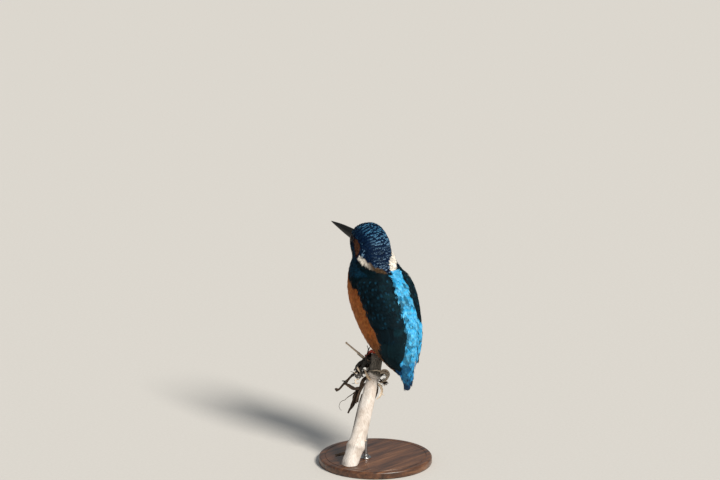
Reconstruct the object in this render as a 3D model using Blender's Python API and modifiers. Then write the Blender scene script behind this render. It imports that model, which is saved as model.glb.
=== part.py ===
"""A common kingfisher (Alcedo atthis), life size, sitting upright on the end of a cut branch.

The bird's own frame is (forward, left, up) from the point between its feet. The part's frame has X to the
bird's left, Y to its back and Z up, with the origin under the middle of the display stand's base.
Everything is in metres.
"""

import math

import bmesh
import bpy
from mathutils import Matrix, Vector

# Where the bird's frame stands over the middle of the base.
FEET_X, FEET_Y, FEET_Z = -0.008, -0.012, 0.081

# The body as stations from the bill to the tail tip. Each is a slanting oval section, given by its dorsal
# and ventral points (forward, up) and its half width at the coat's tips, the folded wings left out.
STATIONS = {
    "bill_base": ((0.0160, 0.0886), (0.0169, 0.0786), 0.0048),
    "forehead": ((0.0118, 0.0956), (0.0134, 0.0742), 0.0108),
    "crown": ((0.0014, 0.0974), (0.0130, 0.0712), 0.0131),
    "occiput": ((-0.0108, 0.0898), (0.0138, 0.0682), 0.0135),
    "nape": ((-0.0153, 0.0768), (0.0155, 0.0652), 0.0150),
    "mantle": ((-0.0258, 0.0630), (0.0160, 0.0575), 0.0188),
    "shoulders": ((-0.0350, 0.0465), (0.0152, 0.0440), 0.0206),
    "back": ((-0.0394, 0.0290), (0.0080, 0.0275), 0.0197),
    "rump": ((-0.0412, 0.0120), (-0.0036, 0.0098), 0.0158),
    "vent": ((-0.0400, -0.0020), (-0.0192, -0.0034), 0.0098),
    "tail_root": ((-0.0386, -0.0096), (-0.0328, -0.0104), 0.0062),
    "tail_middle": ((-0.0378, -0.0162), (-0.0354, -0.0162), 0.0050),
    "tail_tip": ((-0.0374, -0.0218), (-0.0364, -0.0218), 0.0026),
}
STATION_NAMES = list(STATIONS)
SECTION_POWER = 2.2  # 2 is an ellipse, and more is squarer
HEAD_TURN = math.radians(14)  # to the bird's right
NECK_AXIS_FORWARD = -0.003  # the upright line that the head turns about

GAP = 0.0003  # between solids that touch
AROUND = 28  # facets round the body

BILL_LENGTH = 0.0385
BILL_HEIGHT, BILL_WIDTH = 0.0092, 0.0088
BILL_RISE = math.radians(6.5)  # of its axis above level
BILL_RINGS = 10
TIP_RADIUS = 0.00035

EYE_RADIUS = 0.0040
EYE_STATION, EYE_ROUND = 1.72, math.radians(80)  # station count from the bill, angle from the crown
EYE_DEPTH = 0.0031  # of the ball's centre under the face

# The folded wing lies on the body between two angles from the spine's line, from its bend to its tip.
WING_FROM, WING_TO = 4.75, 9.30  # in stations
WING_THICKNESS, WING_EDGE = 0.0021, 0.0006
WING_ROWS, WING_COLUMNS = 21, 8
WING_UPPER = {
    "left": ((0.0, 40), (0.08, 17), (0.20, 20), (0.32, 18), (0.55, 15), (0.75, 26), (0.90, 41), (1.0, 53)),
    "right": ((0.0, 44), (0.08, 21), (0.20, 22), (0.32, 29), (0.45, 36), (0.75, 38), (0.90, 45), (1.0, 56)),
}
WING_LOWER = ((0.0, 72), (0.10, 94), (0.25, 91), (0.40, 86), (0.60, 84), (0.76, 97), (0.88, 90), (1.0, 67))

SHANK_RADIUS, TOE_RADIUS = 0.00115, 0.00085
CLAW_LENGTH, CLAW_RADIUS = 0.0034, 0.00055
FOOT_SPREAD = 0.0030  # of each foot from the middle
# Each toe: the way it points from forward (degrees, outward positive), its length and how far it drops.
TOES = {"inner": (-12, 0.0062, 0.0040), "middle": (4, 0.0078, 0.0052),
        "outer": (22, 0.0068, 0.0046), "hind": (176, 0.0056, 0.0030)}

BRANCH_TOP = (-0.0050, -0.0018, 0.0)  # forward, left, up
BRANCH_FOOT = (-0.0137, 0.0373, -0.0752)
BRANCH_RADIUS_TOP, BRANCH_RADIUS_FOOT = 0.0043, 0.0062
BRANCH_BOW = 0.0016
BRANCH_RINGS, BRANCH_SIDES = 26, 16
KNOTS = ((0.20, 0.0012, 0.022), (0.84, 0.0010, 0.030))  # place along, swelling, half length
# Each twig: place along the branch, start beside its middle line, heading from the bird's front towards
# its left and rise (degrees), the turn it curls through, its length, its radius at the root and at the tip.
TWIGS = {
    "perch_twig_pale": (0.12, 0.0, 30, 35, 4, 0.0280, 0.0009, 0.0006),
    "perch_twig_dark": (0.10, 0.0, 54, -25, -14, 0.0357, 0.0013, 0.0008),
    "perch_stub": (0.90, 0.0, 48, 0, -14, 0.0135, 0.0016, 0.0008),
    "perch_loop": (0.20, 0.0044, 223, 70, -255, 0.0140, 0.0009, 0.0008),
    "perch_curl": (0.28, 0.0048, 218, -34, -105, 0.0120, 0.0010, 0.0006),
}
STRIP_ALONG, STRIP_LENGTH, STRIP_WIDTH, STRIP_THICKNESS = 0.31, 0.0220, 0.0040, 0.0008
STRIP_HEADING, STRIP_RISE, STRIP_OUT = 44, -69, 0.0084

BASE_RADIUS, BASE_THICKNESS, BASE_BEVEL = 0.042, 0.0055, 0.0012
ROD_RADIUS = 0.0016
ROD_ALONG = 0.52  # where the rod meets the branch


def smooth(x):
    x = min(max(x, 0.0), 1.0)
    return x * x * (3 - 2 * x)


def through(values, t):
    """A Catmull-Rom curve through the values, one at each whole number t."""
    last = len(values) - 1
    i = min(max(int(t), 0), last - 1)
    u = t - i
    p0, p1, p2, p3 = (values[min(max(k, 0), last)] for k in (i - 1, i, i + 1, i + 2))
    if i == 0:
        p0 = 2 * p1 - p2
    if i == last - 1:
        p3 = 2 * p2 - p1
    return 0.5 * (2 * p1 + (p2 - p0) * u + (2 * p0 - 5 * p1 + 4 * p2 - p3) * u * u
                  + (3 * p1 - 3 * p2 + p3 - p0) * u ** 3)


def along_points(points, t):
    """Straight-line interpolation in (place, value) pairs, eased at each one."""
    for (a, low), (b, high) in zip(points, points[1:]):
        if t <= b:
            return low + (high - low) * smooth((t - a) / (b - a))
    return points[-1][1]


def to_part(forward, left, up):
    return Vector((FEET_X + left, FEET_Y - forward, FEET_Z + up))


def turn_head(forward, left, t):
    """Turns a point about the neck's axis: fully at the head, not at all from the mantle down."""
    share = 1 - smooth((t - 2.5) / 2.8)
    angle = HEAD_TURN * share
    ahead = forward - NECK_AXIS_FORWARD
    return (NECK_AXIS_FORWARD + ahead * math.cos(angle) + left * math.sin(angle),
            left * math.cos(angle) - ahead * math.sin(angle))


def body_point(t, angle, outward=0.0):
    """A point of the body's surface at station count t, at an angle from the spine's line."""
    dorsal_f, dorsal_z, ventral_f, ventral_z, width = (
        through([pick(STATIONS[name]) for name in STATION_NAMES], t) for pick in (
            lambda s: s[0][0], lambda s: s[0][1], lambda s: s[1][0], lambda s: s[1][1], lambda s: s[2]))
    half = math.hypot(dorsal_f - ventral_f, dorsal_z - ventral_z) / 2
    c, s = math.cos(angle), math.sin(angle)
    power = 2 / SECTION_POWER
    deep = math.copysign(abs(c) ** power, c) * (1 + outward / half)
    wide = math.copysign(abs(s) ** power, s) * (width + outward)
    forward = (dorsal_f + ventral_f) / 2 + deep * (dorsal_f - ventral_f) / 2
    up = (dorsal_z + ventral_z) / 2 + deep * (dorsal_z - ventral_z) / 2
    forward, left = turn_head(forward, wide, t)
    return to_part(forward, left, up)


def new_material(name, colour, roughness, metallic=0.0):
    material = bpy.data.materials.new(name)
    material.use_nodes = True
    shader = material.node_tree.nodes["Principled BSDF"]
    shader.inputs["Base Color"].default_value = (*colour, 1.0)
    shader.inputs["Roughness"].default_value = roughness
    shader.inputs["Metallic"].default_value = metallic
    return material


def new_object(name, mesh, collection, material=None):
    obj = bpy.data.objects.new(name, mesh)
    collection.objects.link(obj)
    if material:
        mesh.materials.append(material)
        mesh.shade_smooth()
        mesh.set_sharp_from_angle(angle=math.radians(50))
    return obj


def loft(name, rings, collection, material=None):
    """A closed solid through rings of equally many points, with a flat fan on each end."""
    bm = bmesh.new()
    loops = [[bm.verts.new(p) for p in ring] for ring in rings]
    for low, high in zip(loops, loops[1:]):
        for i in range(len(low)):
            j = (i + 1) % len(low)
            bm.faces.new((low[i], low[j], high[j], high[i]))
    for loop, outer in ((loops[0], True), (loops[-1], False)):
        middle = bm.verts.new(sum((v.co for v in loop), Vector()) / len(loop))
        for i in range(len(loop)):
            pair = (loop[i], loop[(i + 1) % len(loop)])
            bm.faces.new((*(pair if not outer else pair[::-1]), middle))
    bmesh.ops.recalc_face_normals(bm, faces=bm.faces)
    mesh = bpy.data.meshes.new(name)
    bm.to_mesh(mesh)
    bm.free()
    return new_object(name, mesh, collection, material)


def body_length(name, first, last, rings, collection, material, outward=0.0):
    """One length of the body between two station counts, as its own solid."""
    counts = [first + (last - first) * i / (rings - 1) for i in range(rings)]
    angles = [2 * math.pi * i / AROUND for i in range(AROUND)]
    return loft(name, [[body_point(t, a, outward) for a in angles] for t in counts],
                collection, material)


def tube_solid(name, points, radii, sides, collection, material=None, squash=1.0):
    """A tube through the points with its own radius at each, made as a loft of round rings."""
    rings = []
    across = None
    for i, point in enumerate(points):
        ahead = (points[min(i + 1, len(points) - 1)] - points[max(i - 1, 0)]).normalized()
        start = across if across else ahead.orthogonal()
        across = (start - ahead * start.dot(ahead)).normalized()
        other = ahead.cross(across)
        ring = []
        for k in range(sides):
            angle = 2 * math.pi * k / sides
            ring.append(point + across * math.cos(angle) * radii[i]
                        + other * math.sin(angle) * radii[i] * squash)
        rings.append(ring)
    return loft(name, rings, collection, material)


def cut(obj, cutter, operation="DIFFERENCE"):
    modifier = obj.modifiers.new("cut_" + cutter.name, "BOOLEAN")
    modifier.operation = operation
    modifier.object = cutter
    cutter.hide_render = True
    cutter.display_type = "WIRE"


def bill_ring(along, upper):
    """Half of the bill's section at a share of its length: a flat cutting edge and a round ridge."""
    taper = (1 - along) ** 0.82
    height = max(BILL_HEIGHT / 2 * taper * (1.06 if upper else 0.94), TIP_RADIUS)
    width = max(BILL_WIDTH / 2 * taper, TIP_RADIUS)
    side = 1 if upper else -1
    ring = []
    for i in range(13):
        angle = math.pi * i / 12
        ring.append((width * math.cos(angle), side * (GAP / 2 + height * math.sin(angle) ** 0.85)))
    return ring


def make_bill(name, upper, collection, material):
    root = ((STATIONS["bill_base"][0][0] + STATIONS["bill_base"][1][0]) / 2 + 2 * GAP,
            (STATIONS["bill_base"][0][1] + STATIONS["bill_base"][1][1]) / 2)
    rings = []
    for i in range(BILL_RINGS):
        along = 1 - (1 - i / (BILL_RINGS - 1)) ** 1.25
        reach = along * BILL_LENGTH
        ring = []
        for left, high in bill_ring(along, upper):
            forward = root[0] + reach * math.cos(BILL_RISE) - high * math.sin(BILL_RISE)
            up = root[1] + reach * math.sin(BILL_RISE) + high * math.cos(BILL_RISE)
            forward, left = turn_head(forward, left, 0)
            ring.append(to_part(forward, left, up))
        rings.append(ring)
    return loft(name, rings, collection, material)


def make_eye(name, side, head, helpers, collection, material):
    surface = body_point(EYE_STATION, side * EYE_ROUND)
    ahead = body_point(EYE_STATION - 0.05, side * EYE_ROUND) - surface
    upward = body_point(EYE_STATION, side * (EYE_ROUND - 0.05)) - surface
    outward = upward.cross(ahead).normalized() * side
    centre = surface - outward * EYE_DEPTH
    for label, radius, where, look in ((name, EYE_RADIUS, collection, material),
                                       (name + "_socket", EYE_RADIUS + GAP, helpers, None)):
        bm = bmesh.new()
        bmesh.ops.create_uvsphere(bm, u_segments=16, v_segments=10, radius=radius)
        mesh = bpy.data.meshes.new(label)
        bm.to_mesh(mesh)
        bm.free()
        ball = new_object(label, mesh, where, look)
        ball.location = centre
    cut(head, ball)


def make_wing(word, side, collection, material):
    """A folded wing: a plate that lies on the body, thick in the middle and thin at its edges."""
    outer, inner = [], []
    for i in range(WING_ROWS):
        along = i / (WING_ROWS - 1)
        t = WING_FROM + (WING_TO - WING_FROM) * along
        top, bottom = along_points(WING_UPPER[word], along), along_points(WING_LOWER, along)
        ends = min(smooth(along / 0.18), smooth((1 - along) / 0.30))
        for rows, skin in ((outer, True), (inner, False)):
            row = []
            for k in range(WING_COLUMNS):
                across = k / (WING_COLUMNS - 1)
                angle = side * math.radians(top + (bottom - top) * across)
                full = math.sin(math.pi * across) ** 0.5 * ends
                thick = WING_EDGE + (WING_THICKNESS - WING_EDGE) * full
                row.append(body_point(t, angle, 2 * GAP + (thick if skin else 0.0)))
            rows.append(row)
    rings = [out + back[::-1] for out, back in zip(outer, inner)]
    return loft("wing_" + word, rings, collection, material)


def make_foot(side, word, clearances, collection, skin, horn):
    """A shank and four toes joined into one leg, and four claws of their own."""
    left = side * FOOT_SPREAD
    sole = Vector((BRANCH_TOP[0] + 0.0004, BRANCH_TOP[1] + left, BRANCH_TOP[2] + TOE_RADIUS + 2 * GAP))
    hip = Vector((-0.0100, side * 0.0058 - 0.0012, 0.0092))
    ankle = Vector((-0.0076, side * 0.0041 - 0.0018, 0.0038))

    def leg_tube(label, path, radii, sides=10, look=None):
        return tube_solid(label, [to_part(*p) for p in path], radii, sides, collection, look)

    shank = leg_tube("leg_" + word, [hip, ankle.lerp(hip, 0.45), ankle, sole + Vector((0, 0, 0.0003))],
                     [SHANK_RADIUS * 1.25, SHANK_RADIUS, SHANK_RADIUS * 1.1, SHANK_RADIUS], look=skin)
    for k, (toe, (heading, length, drop)) in enumerate(TOES.items()):
        way = math.radians(heading) * side
        path, radii = [], []
        steps = 7
        for i in range(steps):
            u = i / (steps - 1)
            # each root starts a little further back than the last, inside the shank
            reach = length * u - (0.00012 + 0.00011 * k) * (1 - u)
            fall = drop * max(0.0, (u - 0.35) / 0.65) ** 1.6
            path.append(sole + Vector((reach * math.cos(way), reach * math.sin(way), -fall)))
            radii.append(TOE_RADIUS * (1.1 - 0.25 * u))
        cut(shank, leg_tube(f"toe_{toe}_{word}", path, radii, 8), "UNION")
        ahead = (path[-1] - path[-2]).normalized()
        claw, claw_radii = [], []
        for i in range(5):
            u = i / 4
            bend = Vector((0, 0, -CLAW_LENGTH * 0.45 * u * u))
            claw.append(path[-1] + ahead * (GAP + CLAW_LENGTH * u * 0.9) + bend)
            claw_radii.append(CLAW_RADIUS * (1 - 0.8 * u))
        nail = leg_tube(f"claw_{toe}_{word}", claw, claw_radii, 6, horn)
        cut(nail, clearances[1])
    for clearance in clearances:
        cut(shank, clearance)


def branch_axis(u):
    """The branch's middle line at a share of the way down, with a slight bow."""
    top, foot = Vector(BRANCH_TOP), Vector(BRANCH_FOOT)
    return top.lerp(foot, u) + Vector((-0.73, -0.68, 0.0)) * BRANCH_BOW * math.sin(math.pi * u)


def make_branch(name, collection, material=None, outward=0.0):
    rings, steps = [], BRANCH_RINGS - 1
    for i in range(BRANCH_RINGS):
        u = i / steps
        centre = branch_axis(u)
        ahead = (branch_axis(u + 0.01) - branch_axis(u - 0.01)).normalized()
        level = Vector((0, 0, -1)).lerp(ahead, smooth(u / 0.08) * smooth((1 - u) / 0.03)).normalized()
        across = Vector((1, 0, 0)) - level * level.x
        across.normalize()
        other = level.cross(across)
        radius = BRANCH_RADIUS_TOP + (BRANCH_RADIUS_FOOT - BRANCH_RADIUS_TOP) * u
        radius += sum(swell * math.exp(-((u - at) / half) ** 2) for at, swell, half in KNOTS)
        radius = radius * (0.86 + 0.14 * smooth(u / 0.02)) + outward
        if i in (0, steps):
            centre = centre + level * outward * (-1 if i == 0 else 1)
        ring = []
        for k in range(BRANCH_SIDES):
            angle = 2 * math.pi * k / BRANCH_SIDES
            r = radius * (1 + 0.03 * math.sin(3 * angle + 9 * u) + 0.02 * math.sin(5 * angle - 14 * u))
            ring.append(to_part(*(centre + across * r * math.cos(angle) + other * r * math.sin(angle))))
        rings.append(ring)
    return loft(name, rings, collection, material)


def heading_vector(heading, rise):
    turn, lift = math.radians(heading), math.radians(rise)
    return Vector((math.cos(turn) * math.cos(lift), math.sin(turn) * math.cos(lift), math.sin(lift)))


def make_twigs(clearance, collection, pale, dark):
    """The twigs that leave the branch, and the strip of bark that hangs beside it."""
    for name, (along, out, heading, rise, curl, length, root, tip) in TWIGS.items():
        point = branch_axis(along) + heading_vector(heading, 0) * out
        steps = 6 + abs(curl) // 30
        path, radii = [], []
        for i in range(steps):
            u = i / (steps - 1)
            path.append(to_part(*point))
            radii.append(root + (tip - root) * u)
            point = point + heading_vector(heading, rise + curl * (u + 0.5 / steps)) * length / (steps - 1)
        look = dark if "dark" in name else pale
        cut(tube_solid(name, path, radii, 8, collection, look), clearance)
    start, way = branch_axis(STRIP_ALONG), heading_vector(STRIP_HEADING, STRIP_RISE)
    beside = heading_vector(STRIP_HEADING + 16, 0)
    start = start + heading_vector(STRIP_HEADING, 0) * STRIP_OUT
    through_it = way.cross(beside).normalized()
    rings = []
    for i in range(9):
        u = i / 8
        centre = start + way * STRIP_LENGTH * u + through_it * 0.0012 * math.sin(2.5 * math.pi * u)
        half = STRIP_WIDTH / 2 * (0.45 + 0.55 * math.sin(math.pi * min(1.0, 0.12 + u)) ** 0.7)
        corners = ((-half, -1), (0, -1.4), (half, -1), (half, 1), (0, 0.6), (-half, 1))
        rings.append([to_part(*(centre + beside * a + through_it * b * STRIP_THICKNESS / 2))
                      for a, b in corners])
    cut(loft("perch_bark_strip", rings, collection, dark), clearance)


def make_stand(clearance, collection, base_look, rod_look):
    bpy.ops.mesh.primitive_cylinder_add(vertices=48, radius=BASE_RADIUS, depth=BASE_THICKNESS,
                                        location=(0, 0, BASE_THICKNESS / 2))
    base = bpy.context.object
    base.name = "stand_base"
    base.users_collection[0].objects.unlink(base)
    collection.objects.link(base)
    base.data.materials.append(base_look)
    bevel = base.modifiers.new("rounded_rim", "BEVEL")
    bevel.width, bevel.segments = BASE_BEVEL, 2
    bevel.limit_method = "ANGLE"
    base.data.shade_smooth()
    base.data.set_sharp_from_angle(angle=math.radians(50))

    meet = to_part(*branch_axis(ROD_ALONG))
    points = [Vector((meet.x, meet.y, BASE_THICKNESS + GAP)), Vector((meet.x, meet.y, meet.z))]
    cut(tube_solid("stand_rod", points, [ROD_RADIUS] * 2, 14, collection, rod_look), clearance)


def clear_scene():
    for obj in list(bpy.data.objects):
        bpy.data.objects.remove(obj)


def main():
    clear_scene()
    bird = bpy.data.collections.new("common_kingfisher")
    helpers = bpy.data.collections.new("cutters")
    for collection in (bird, helpers):
        bpy.context.scene.collection.children.link(collection)

    blue = new_material("crown_blue", (0.02, 0.09, 0.16), 0.6)
    back = new_material("back_azure", (0.05, 0.36, 0.62), 0.5)
    wing = new_material("wing_teal", (0.01, 0.05, 0.08), 0.5)
    tail = new_material("tail_cobalt", (0.02, 0.09, 0.22), 0.5)
    black = new_material("bill_horn", (0.02, 0.02, 0.02), 0.35)
    eye = new_material("eye_brown", (0.015, 0.008, 0.005), 0.05)
    coral = new_material("foot_coral", (0.55, 0.10, 0.05), 0.5)
    claw = new_material("claw_horn", (0.04, 0.03, 0.03), 0.4)
    bark = new_material("dead_wood", (0.62, 0.55, 0.48), 0.85)
    peel = new_material("dark_bark", (0.09, 0.06, 0.045), 0.85)
    walnut = new_material("stand_walnut", (0.10, 0.055, 0.03), 0.45)
    steel = new_material("stand_steel", (0.35, 0.35, 0.36), 0.35, 1.0)

    head = body_length("head", 0.0, 3.35, 15, bird, blue)
    body_length("neck", 3.37, 4.60, 7, bird, blue)
    body_length("trunk", 4.62, 9.94, 22, bird, back)
    body_length("tail", 10.0, 12.0, 7, bird, tail)
    make_bill("bill_upper", True, bird, black)
    make_bill("bill_lower", False, bird, black)
    make_branch("perch_branch", bird, bark)
    round_branch = make_branch("branch_clearance", helpers, None, GAP)
    round_trunk = body_length("trunk_clearance", 4.62, 9.94, 22, helpers, None, GAP)
    for side, word in ((1, "left"), (-1, "right")):
        make_eye("eye_" + word, side, head, helpers, bird, eye)
        make_wing(word, side, bird, wing)
        make_foot(side, word, (round_trunk, round_branch), bird, coral, claw)
    make_twigs(round_branch, bird, bark, peel)
    make_stand(round_branch, bird, walnut, steel)


main()
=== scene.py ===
import math

import bpy
import numpy as np
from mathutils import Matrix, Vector


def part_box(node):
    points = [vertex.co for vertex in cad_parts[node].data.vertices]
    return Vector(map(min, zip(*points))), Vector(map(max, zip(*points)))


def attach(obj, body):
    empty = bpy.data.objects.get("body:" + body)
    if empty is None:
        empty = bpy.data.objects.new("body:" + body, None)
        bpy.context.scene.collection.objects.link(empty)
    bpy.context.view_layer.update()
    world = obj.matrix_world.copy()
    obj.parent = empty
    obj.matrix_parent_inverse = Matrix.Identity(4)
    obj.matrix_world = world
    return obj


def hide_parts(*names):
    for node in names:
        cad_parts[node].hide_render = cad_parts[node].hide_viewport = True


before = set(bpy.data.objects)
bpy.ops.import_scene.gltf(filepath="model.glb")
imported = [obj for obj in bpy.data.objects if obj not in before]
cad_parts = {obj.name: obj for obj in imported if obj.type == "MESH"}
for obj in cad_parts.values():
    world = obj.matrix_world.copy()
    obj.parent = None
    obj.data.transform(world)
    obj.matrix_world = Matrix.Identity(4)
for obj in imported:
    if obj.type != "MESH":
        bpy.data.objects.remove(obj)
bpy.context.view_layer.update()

mm = 0.001
sides = {"left": 1, "right": -1}  # of the bird
dice = np.random.default_rng(20)  # every stray of the coat's vanes, in the order they are laid


# colours as sRGB hex, turned to the linear values that the shaders take
def linearFromHex(code):
    parts = [int(code[i:i + 2], 16) / 255 for i in (1, 3, 5)]
    return tuple(c / 12.92 if c <= 0.04045 else ((c + 0.055) / 1.055) ** 2.4 for c in parts)


def addNode(tree, kind, settings=None, values=None, links=None, stops=()):
    # stops are the places and colours of a colour ramp
    node = tree.nodes.new(kind)
    for name, value in (settings or {}).items():
        setattr(node, name, value)
    for name, value in (values or {}).items():
        node.inputs[name].default_value = value
    for name, socket in (links or {}).items():
        tree.links.new(socket, node.inputs[name])
    if stops:
        elements = node.color_ramp.elements
        while len(elements) < len(stops):
            elements.new(0.5)
        for element, (place, code) in zip(elements, stops):
            element.position = place
            element.color = (*linearFromHex(code), 1)
    return node


def startMaterial(name, values):
    # with the object's own coordinates, which the patterns lie in
    material = bpy.data.materials.new(name)
    material.use_nodes = True
    tree = material.node_tree
    shader = tree.nodes["Principled BSDF"]
    for socket, value in values.items():
        shader.inputs[socket].default_value = value
    return material, tree, shader, addNode(tree, "ShaderNodeTexCoord").outputs["Object"]


def finishShader(tree, shader, colour=None, height=None, strength=0.0, distance=0.0):
    # the height stands out of the surface by a distance in mm
    if colour is not None:
        tree.links.new(colour, shader.inputs["Base Color"])
    if height is not None:
        bump = addNode(tree, "ShaderNodeBump", values={"Strength": strength, "Distance": distance * mm},
                       links={"Height": height})
        tree.links.new(bump.outputs["Normal"], shader.inputs["Normal"])


# small number helpers, all for whole arrays
def smooth(x):
    x = np.clip(x, 0.0, 1.0)
    return x * x * (3 - 2 * x)


def mix(a, b, share):
    return a + (b - a) * share


def bell(x, centre, half):
    return np.exp(-((x - centre) / half) ** 2)


def unit(v):
    return v / np.maximum(np.linalg.norm(v, axis=-1, keepdims=True), 1e-12)


def dot(a, b):
    return np.sum(a * b, axis=-1)


def easedTable(table, x):
    # a curve through (place, value) pairs that levels off at each one
    value = np.full(np.shape(x), float(table[0][1]))
    for (a, low), (b, high) in zip(table, table[1:]):
        value = np.where(x > a, low + (high - low) * smooth((x - a) / (b - a)), value)
    return value


def bySide(tables, x, isLeft):
    return np.where(isLeft, easedTable(tables["left"], x), easedTable(tables["right"], x))


def wrapAngle(angle):
    return (angle + math.pi) % (2 * math.pi) - math.pi


def roundAngles(count):
    return 2 * math.pi * np.arange(count) / count


def addObject(name, data):
    thing = bpy.data.objects.new(name, data)
    bpy.context.scene.collection.objects.link(thing)
    return thing


def finishPiece(name, mesh, material, sharpAngle=None, rides=True):
    mesh.shade_smooth()
    if sharpAngle:
        mesh.set_sharp_from_angle(angle=math.radians(sharpAngle))
    mesh.materials.append(material)
    piece = addObject(name, mesh)
    if rides:
        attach(piece, "root")
    return piece


def meshFrom(name, verts, faces):
    mesh = bpy.data.meshes.new(name)
    mesh.from_pydata(np.asarray(verts).tolist(), [], faces)
    mesh.update()
    return mesh


def addNumbers(mesh, label, values):
    layer = mesh.attributes.new(label, "FLOAT", "POINT")
    layer.data.foreach_set("value", np.asarray(values, np.float32).ravel())


def addColour(mesh, label, rgb):
    rgba = np.ones((len(mesh.vertices), 4), np.float32)
    rgba[:, :3] = rgb
    mesh.attributes.new(label, "FLOAT_COLOR", "POINT").data.foreach_set("color", rgba.ravel())


def ringFaces(rows, count, around):
    # faces between each of count rings and the next, for as many rows; the last ring's next is the first
    return [(r * around + k, r * around + (k + 1) % around, (r + 1) % count * around + (k + 1) % around,
             (r + 1) % count * around + k) for r in range(rows) for k in range(around)]


def loftRings(rings):
    # a closed solid through rings of equally many points, with a fan on each end
    count, around = rings.shape[:2]
    verts = np.concatenate((rings.reshape(-1, 3), rings[:1].mean(1), rings[-1:].mean(1)))
    faces = ringFaces(count - 1, count, around)
    first, last, top = count * around, count * around + 1, (count - 1) * around
    for k in range(around):
        j = (k + 1) % around
        faces += [(j, k, first), (top + k, top + j, last)]
    return verts, faces


def wrapRings(rings):
    # a closed hoop through rings of equally many points
    count, around = rings.shape[:2]
    return rings.reshape(-1, 3), ringFaces(count, count, around)


def loftPiece(name, rings, material, sharpAngle=None):
    return finishPiece(name, meshFrom(name, *loftRings(rings)), material, sharpAngle)


def tubeRings(points, radii, around):
    # rings about a path, carried along it without twist; radii may differ along and around
    points = np.asarray(points, float)
    radii = np.broadcast_to(np.asarray(radii, float).reshape(len(points), -1), (len(points), around))
    ahead = unit(np.gradient(points, axis=0))
    across = np.array((1.0, 0.0, 0.0)) if abs(ahead[0][0]) < 0.8 else np.array((0.0, 1.0, 0.0))
    turn = roundAngles(around)
    rings = np.empty((len(points), around, 3))
    for i, forward in enumerate(ahead):
        across = unit(across - forward * np.dot(across, forward))
        other = np.cross(forward, across)
        way = np.cos(turn)[:, None] * across + np.sin(turn)[:, None] * other
        rings[i] = points[i] + way * radii[i][:, None]
    return rings


# the bird's form, as in its solids, from the bill to the tail tip
bodyForm = {
    "feet": (-8.0, -12.0, 81.0),  # mm from the middle of the base
    "stations": (  # dorsal forward and up, ventral forward and up, half width, in mm from the feet
        (16.0, 88.6, 16.9, 78.6, 4.8), (11.8, 95.6, 13.4, 74.2, 10.8), (1.4, 97.4, 13.0, 71.2, 13.1),
        (-10.8, 89.8, 13.8, 68.2, 13.5), (-15.3, 76.8, 15.5, 65.2, 15.0), (-25.8, 63.0, 16.0, 57.5, 18.8),
        (-35.0, 46.5, 15.2, 44.0, 20.6), (-39.4, 29.0, 8.0, 27.5, 19.7), (-41.2, 12.0, -3.6, 9.8, 15.8),
        (-40.0, -2.0, -19.2, -3.4, 9.8), (-38.6, -9.6, -32.8, -10.4, 6.2), (-37.8, -16.2, -35.4, -16.2, 5.0),
        (-37.4, -21.8, -36.4, -21.8, 2.6)),
    "sectionPower": 2.2,
    "headTurn": 14.0,  # degrees to the bird's right
    "neckAxis": -3.0,
}
stationRows = np.array(bodyForm["stations"]) * mm
stationRows = np.vstack((2 * stationRows[0] - stationRows[1], stationRows,
                         2 * stationRows[-1] - stationRows[-2]))
lastStation = len(stationRows) - 3
feet = np.array(bodyForm["feet"]) * mm


def toPart(forward, left, up):
    return np.stack((feet[0] + left, feet[1] - forward, feet[2] + up), axis=-1)


def turnHead(forward, left, t):
    turn = math.radians(bodyForm["headTurn"]) * (1 - smooth((t - 2.5) / 2.8))
    axis = bodyForm["neckAxis"] * mm
    ahead = forward - axis
    return axis + ahead * np.cos(turn) + left * np.sin(turn), left * np.cos(turn) - ahead * np.sin(turn)


def bodyPoint(t, angle):
    i = np.clip(np.floor(t).astype(int), 0, lastStation - 1)
    u = (t - i)[..., None]
    p0, p1, p2, p3 = (stationRows[i + k] for k in range(4))
    row = 0.5 * (2 * p1 + (p2 - p0) * u + (2 * p0 - 5 * p1 + 4 * p2 - p3) * u * u
                 + (3 * p1 - 3 * p2 + p3 - p0) * u ** 3)
    c, s = np.cos(angle), np.sin(angle)
    power = 2 / bodyForm["sectionPower"]
    deep = np.sign(c) * np.abs(c) ** power
    wide = np.sign(s) * np.abs(s) ** power * row[..., 4]
    forward = (row[..., 0] + row[..., 2]) / 2 + deep * (row[..., 0] - row[..., 2]) / 2
    up = (row[..., 1] + row[..., 3]) / 2 + deep * (row[..., 1] - row[..., 3]) / 2
    forward, left = turnHead(forward, wide, t)
    return toPart(forward, left, up)


def bodyFrame(t, angle):
    # the point, its slopes along the stations and round the body, and the outward normal
    step = 0.02
    point = bodyPoint(t, angle)
    slopeT = (bodyPoint(t + step, angle) - bodyPoint(t - step, angle)) / (2 * step)
    slopeA = (bodyPoint(t, angle + step) - bodyPoint(t, angle - step)) / (2 * step)
    return point, slopeT, slopeA, unit(np.cross(slopeA, slopeT))


def coatPoint(t, angle, height):
    point, _, _, normal = bodyFrame(t, angle)
    return point + normal * height[..., None]


def surfaceSteps(slopeT, slopeA, move):
    # what a small move along the surface is, in stations and radians
    tt, ta, aa = dot(slopeT, slopeT), dot(slopeT, slopeA), dot(slopeA, slopeA)
    mt, ma = dot(move, slopeT), dot(move, slopeA)
    area = np.maximum(tt * aa - ta * ta, 1e-14)
    return (mt * aa - ma * ta) / area, (ma * tt - mt * ta) / area


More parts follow.
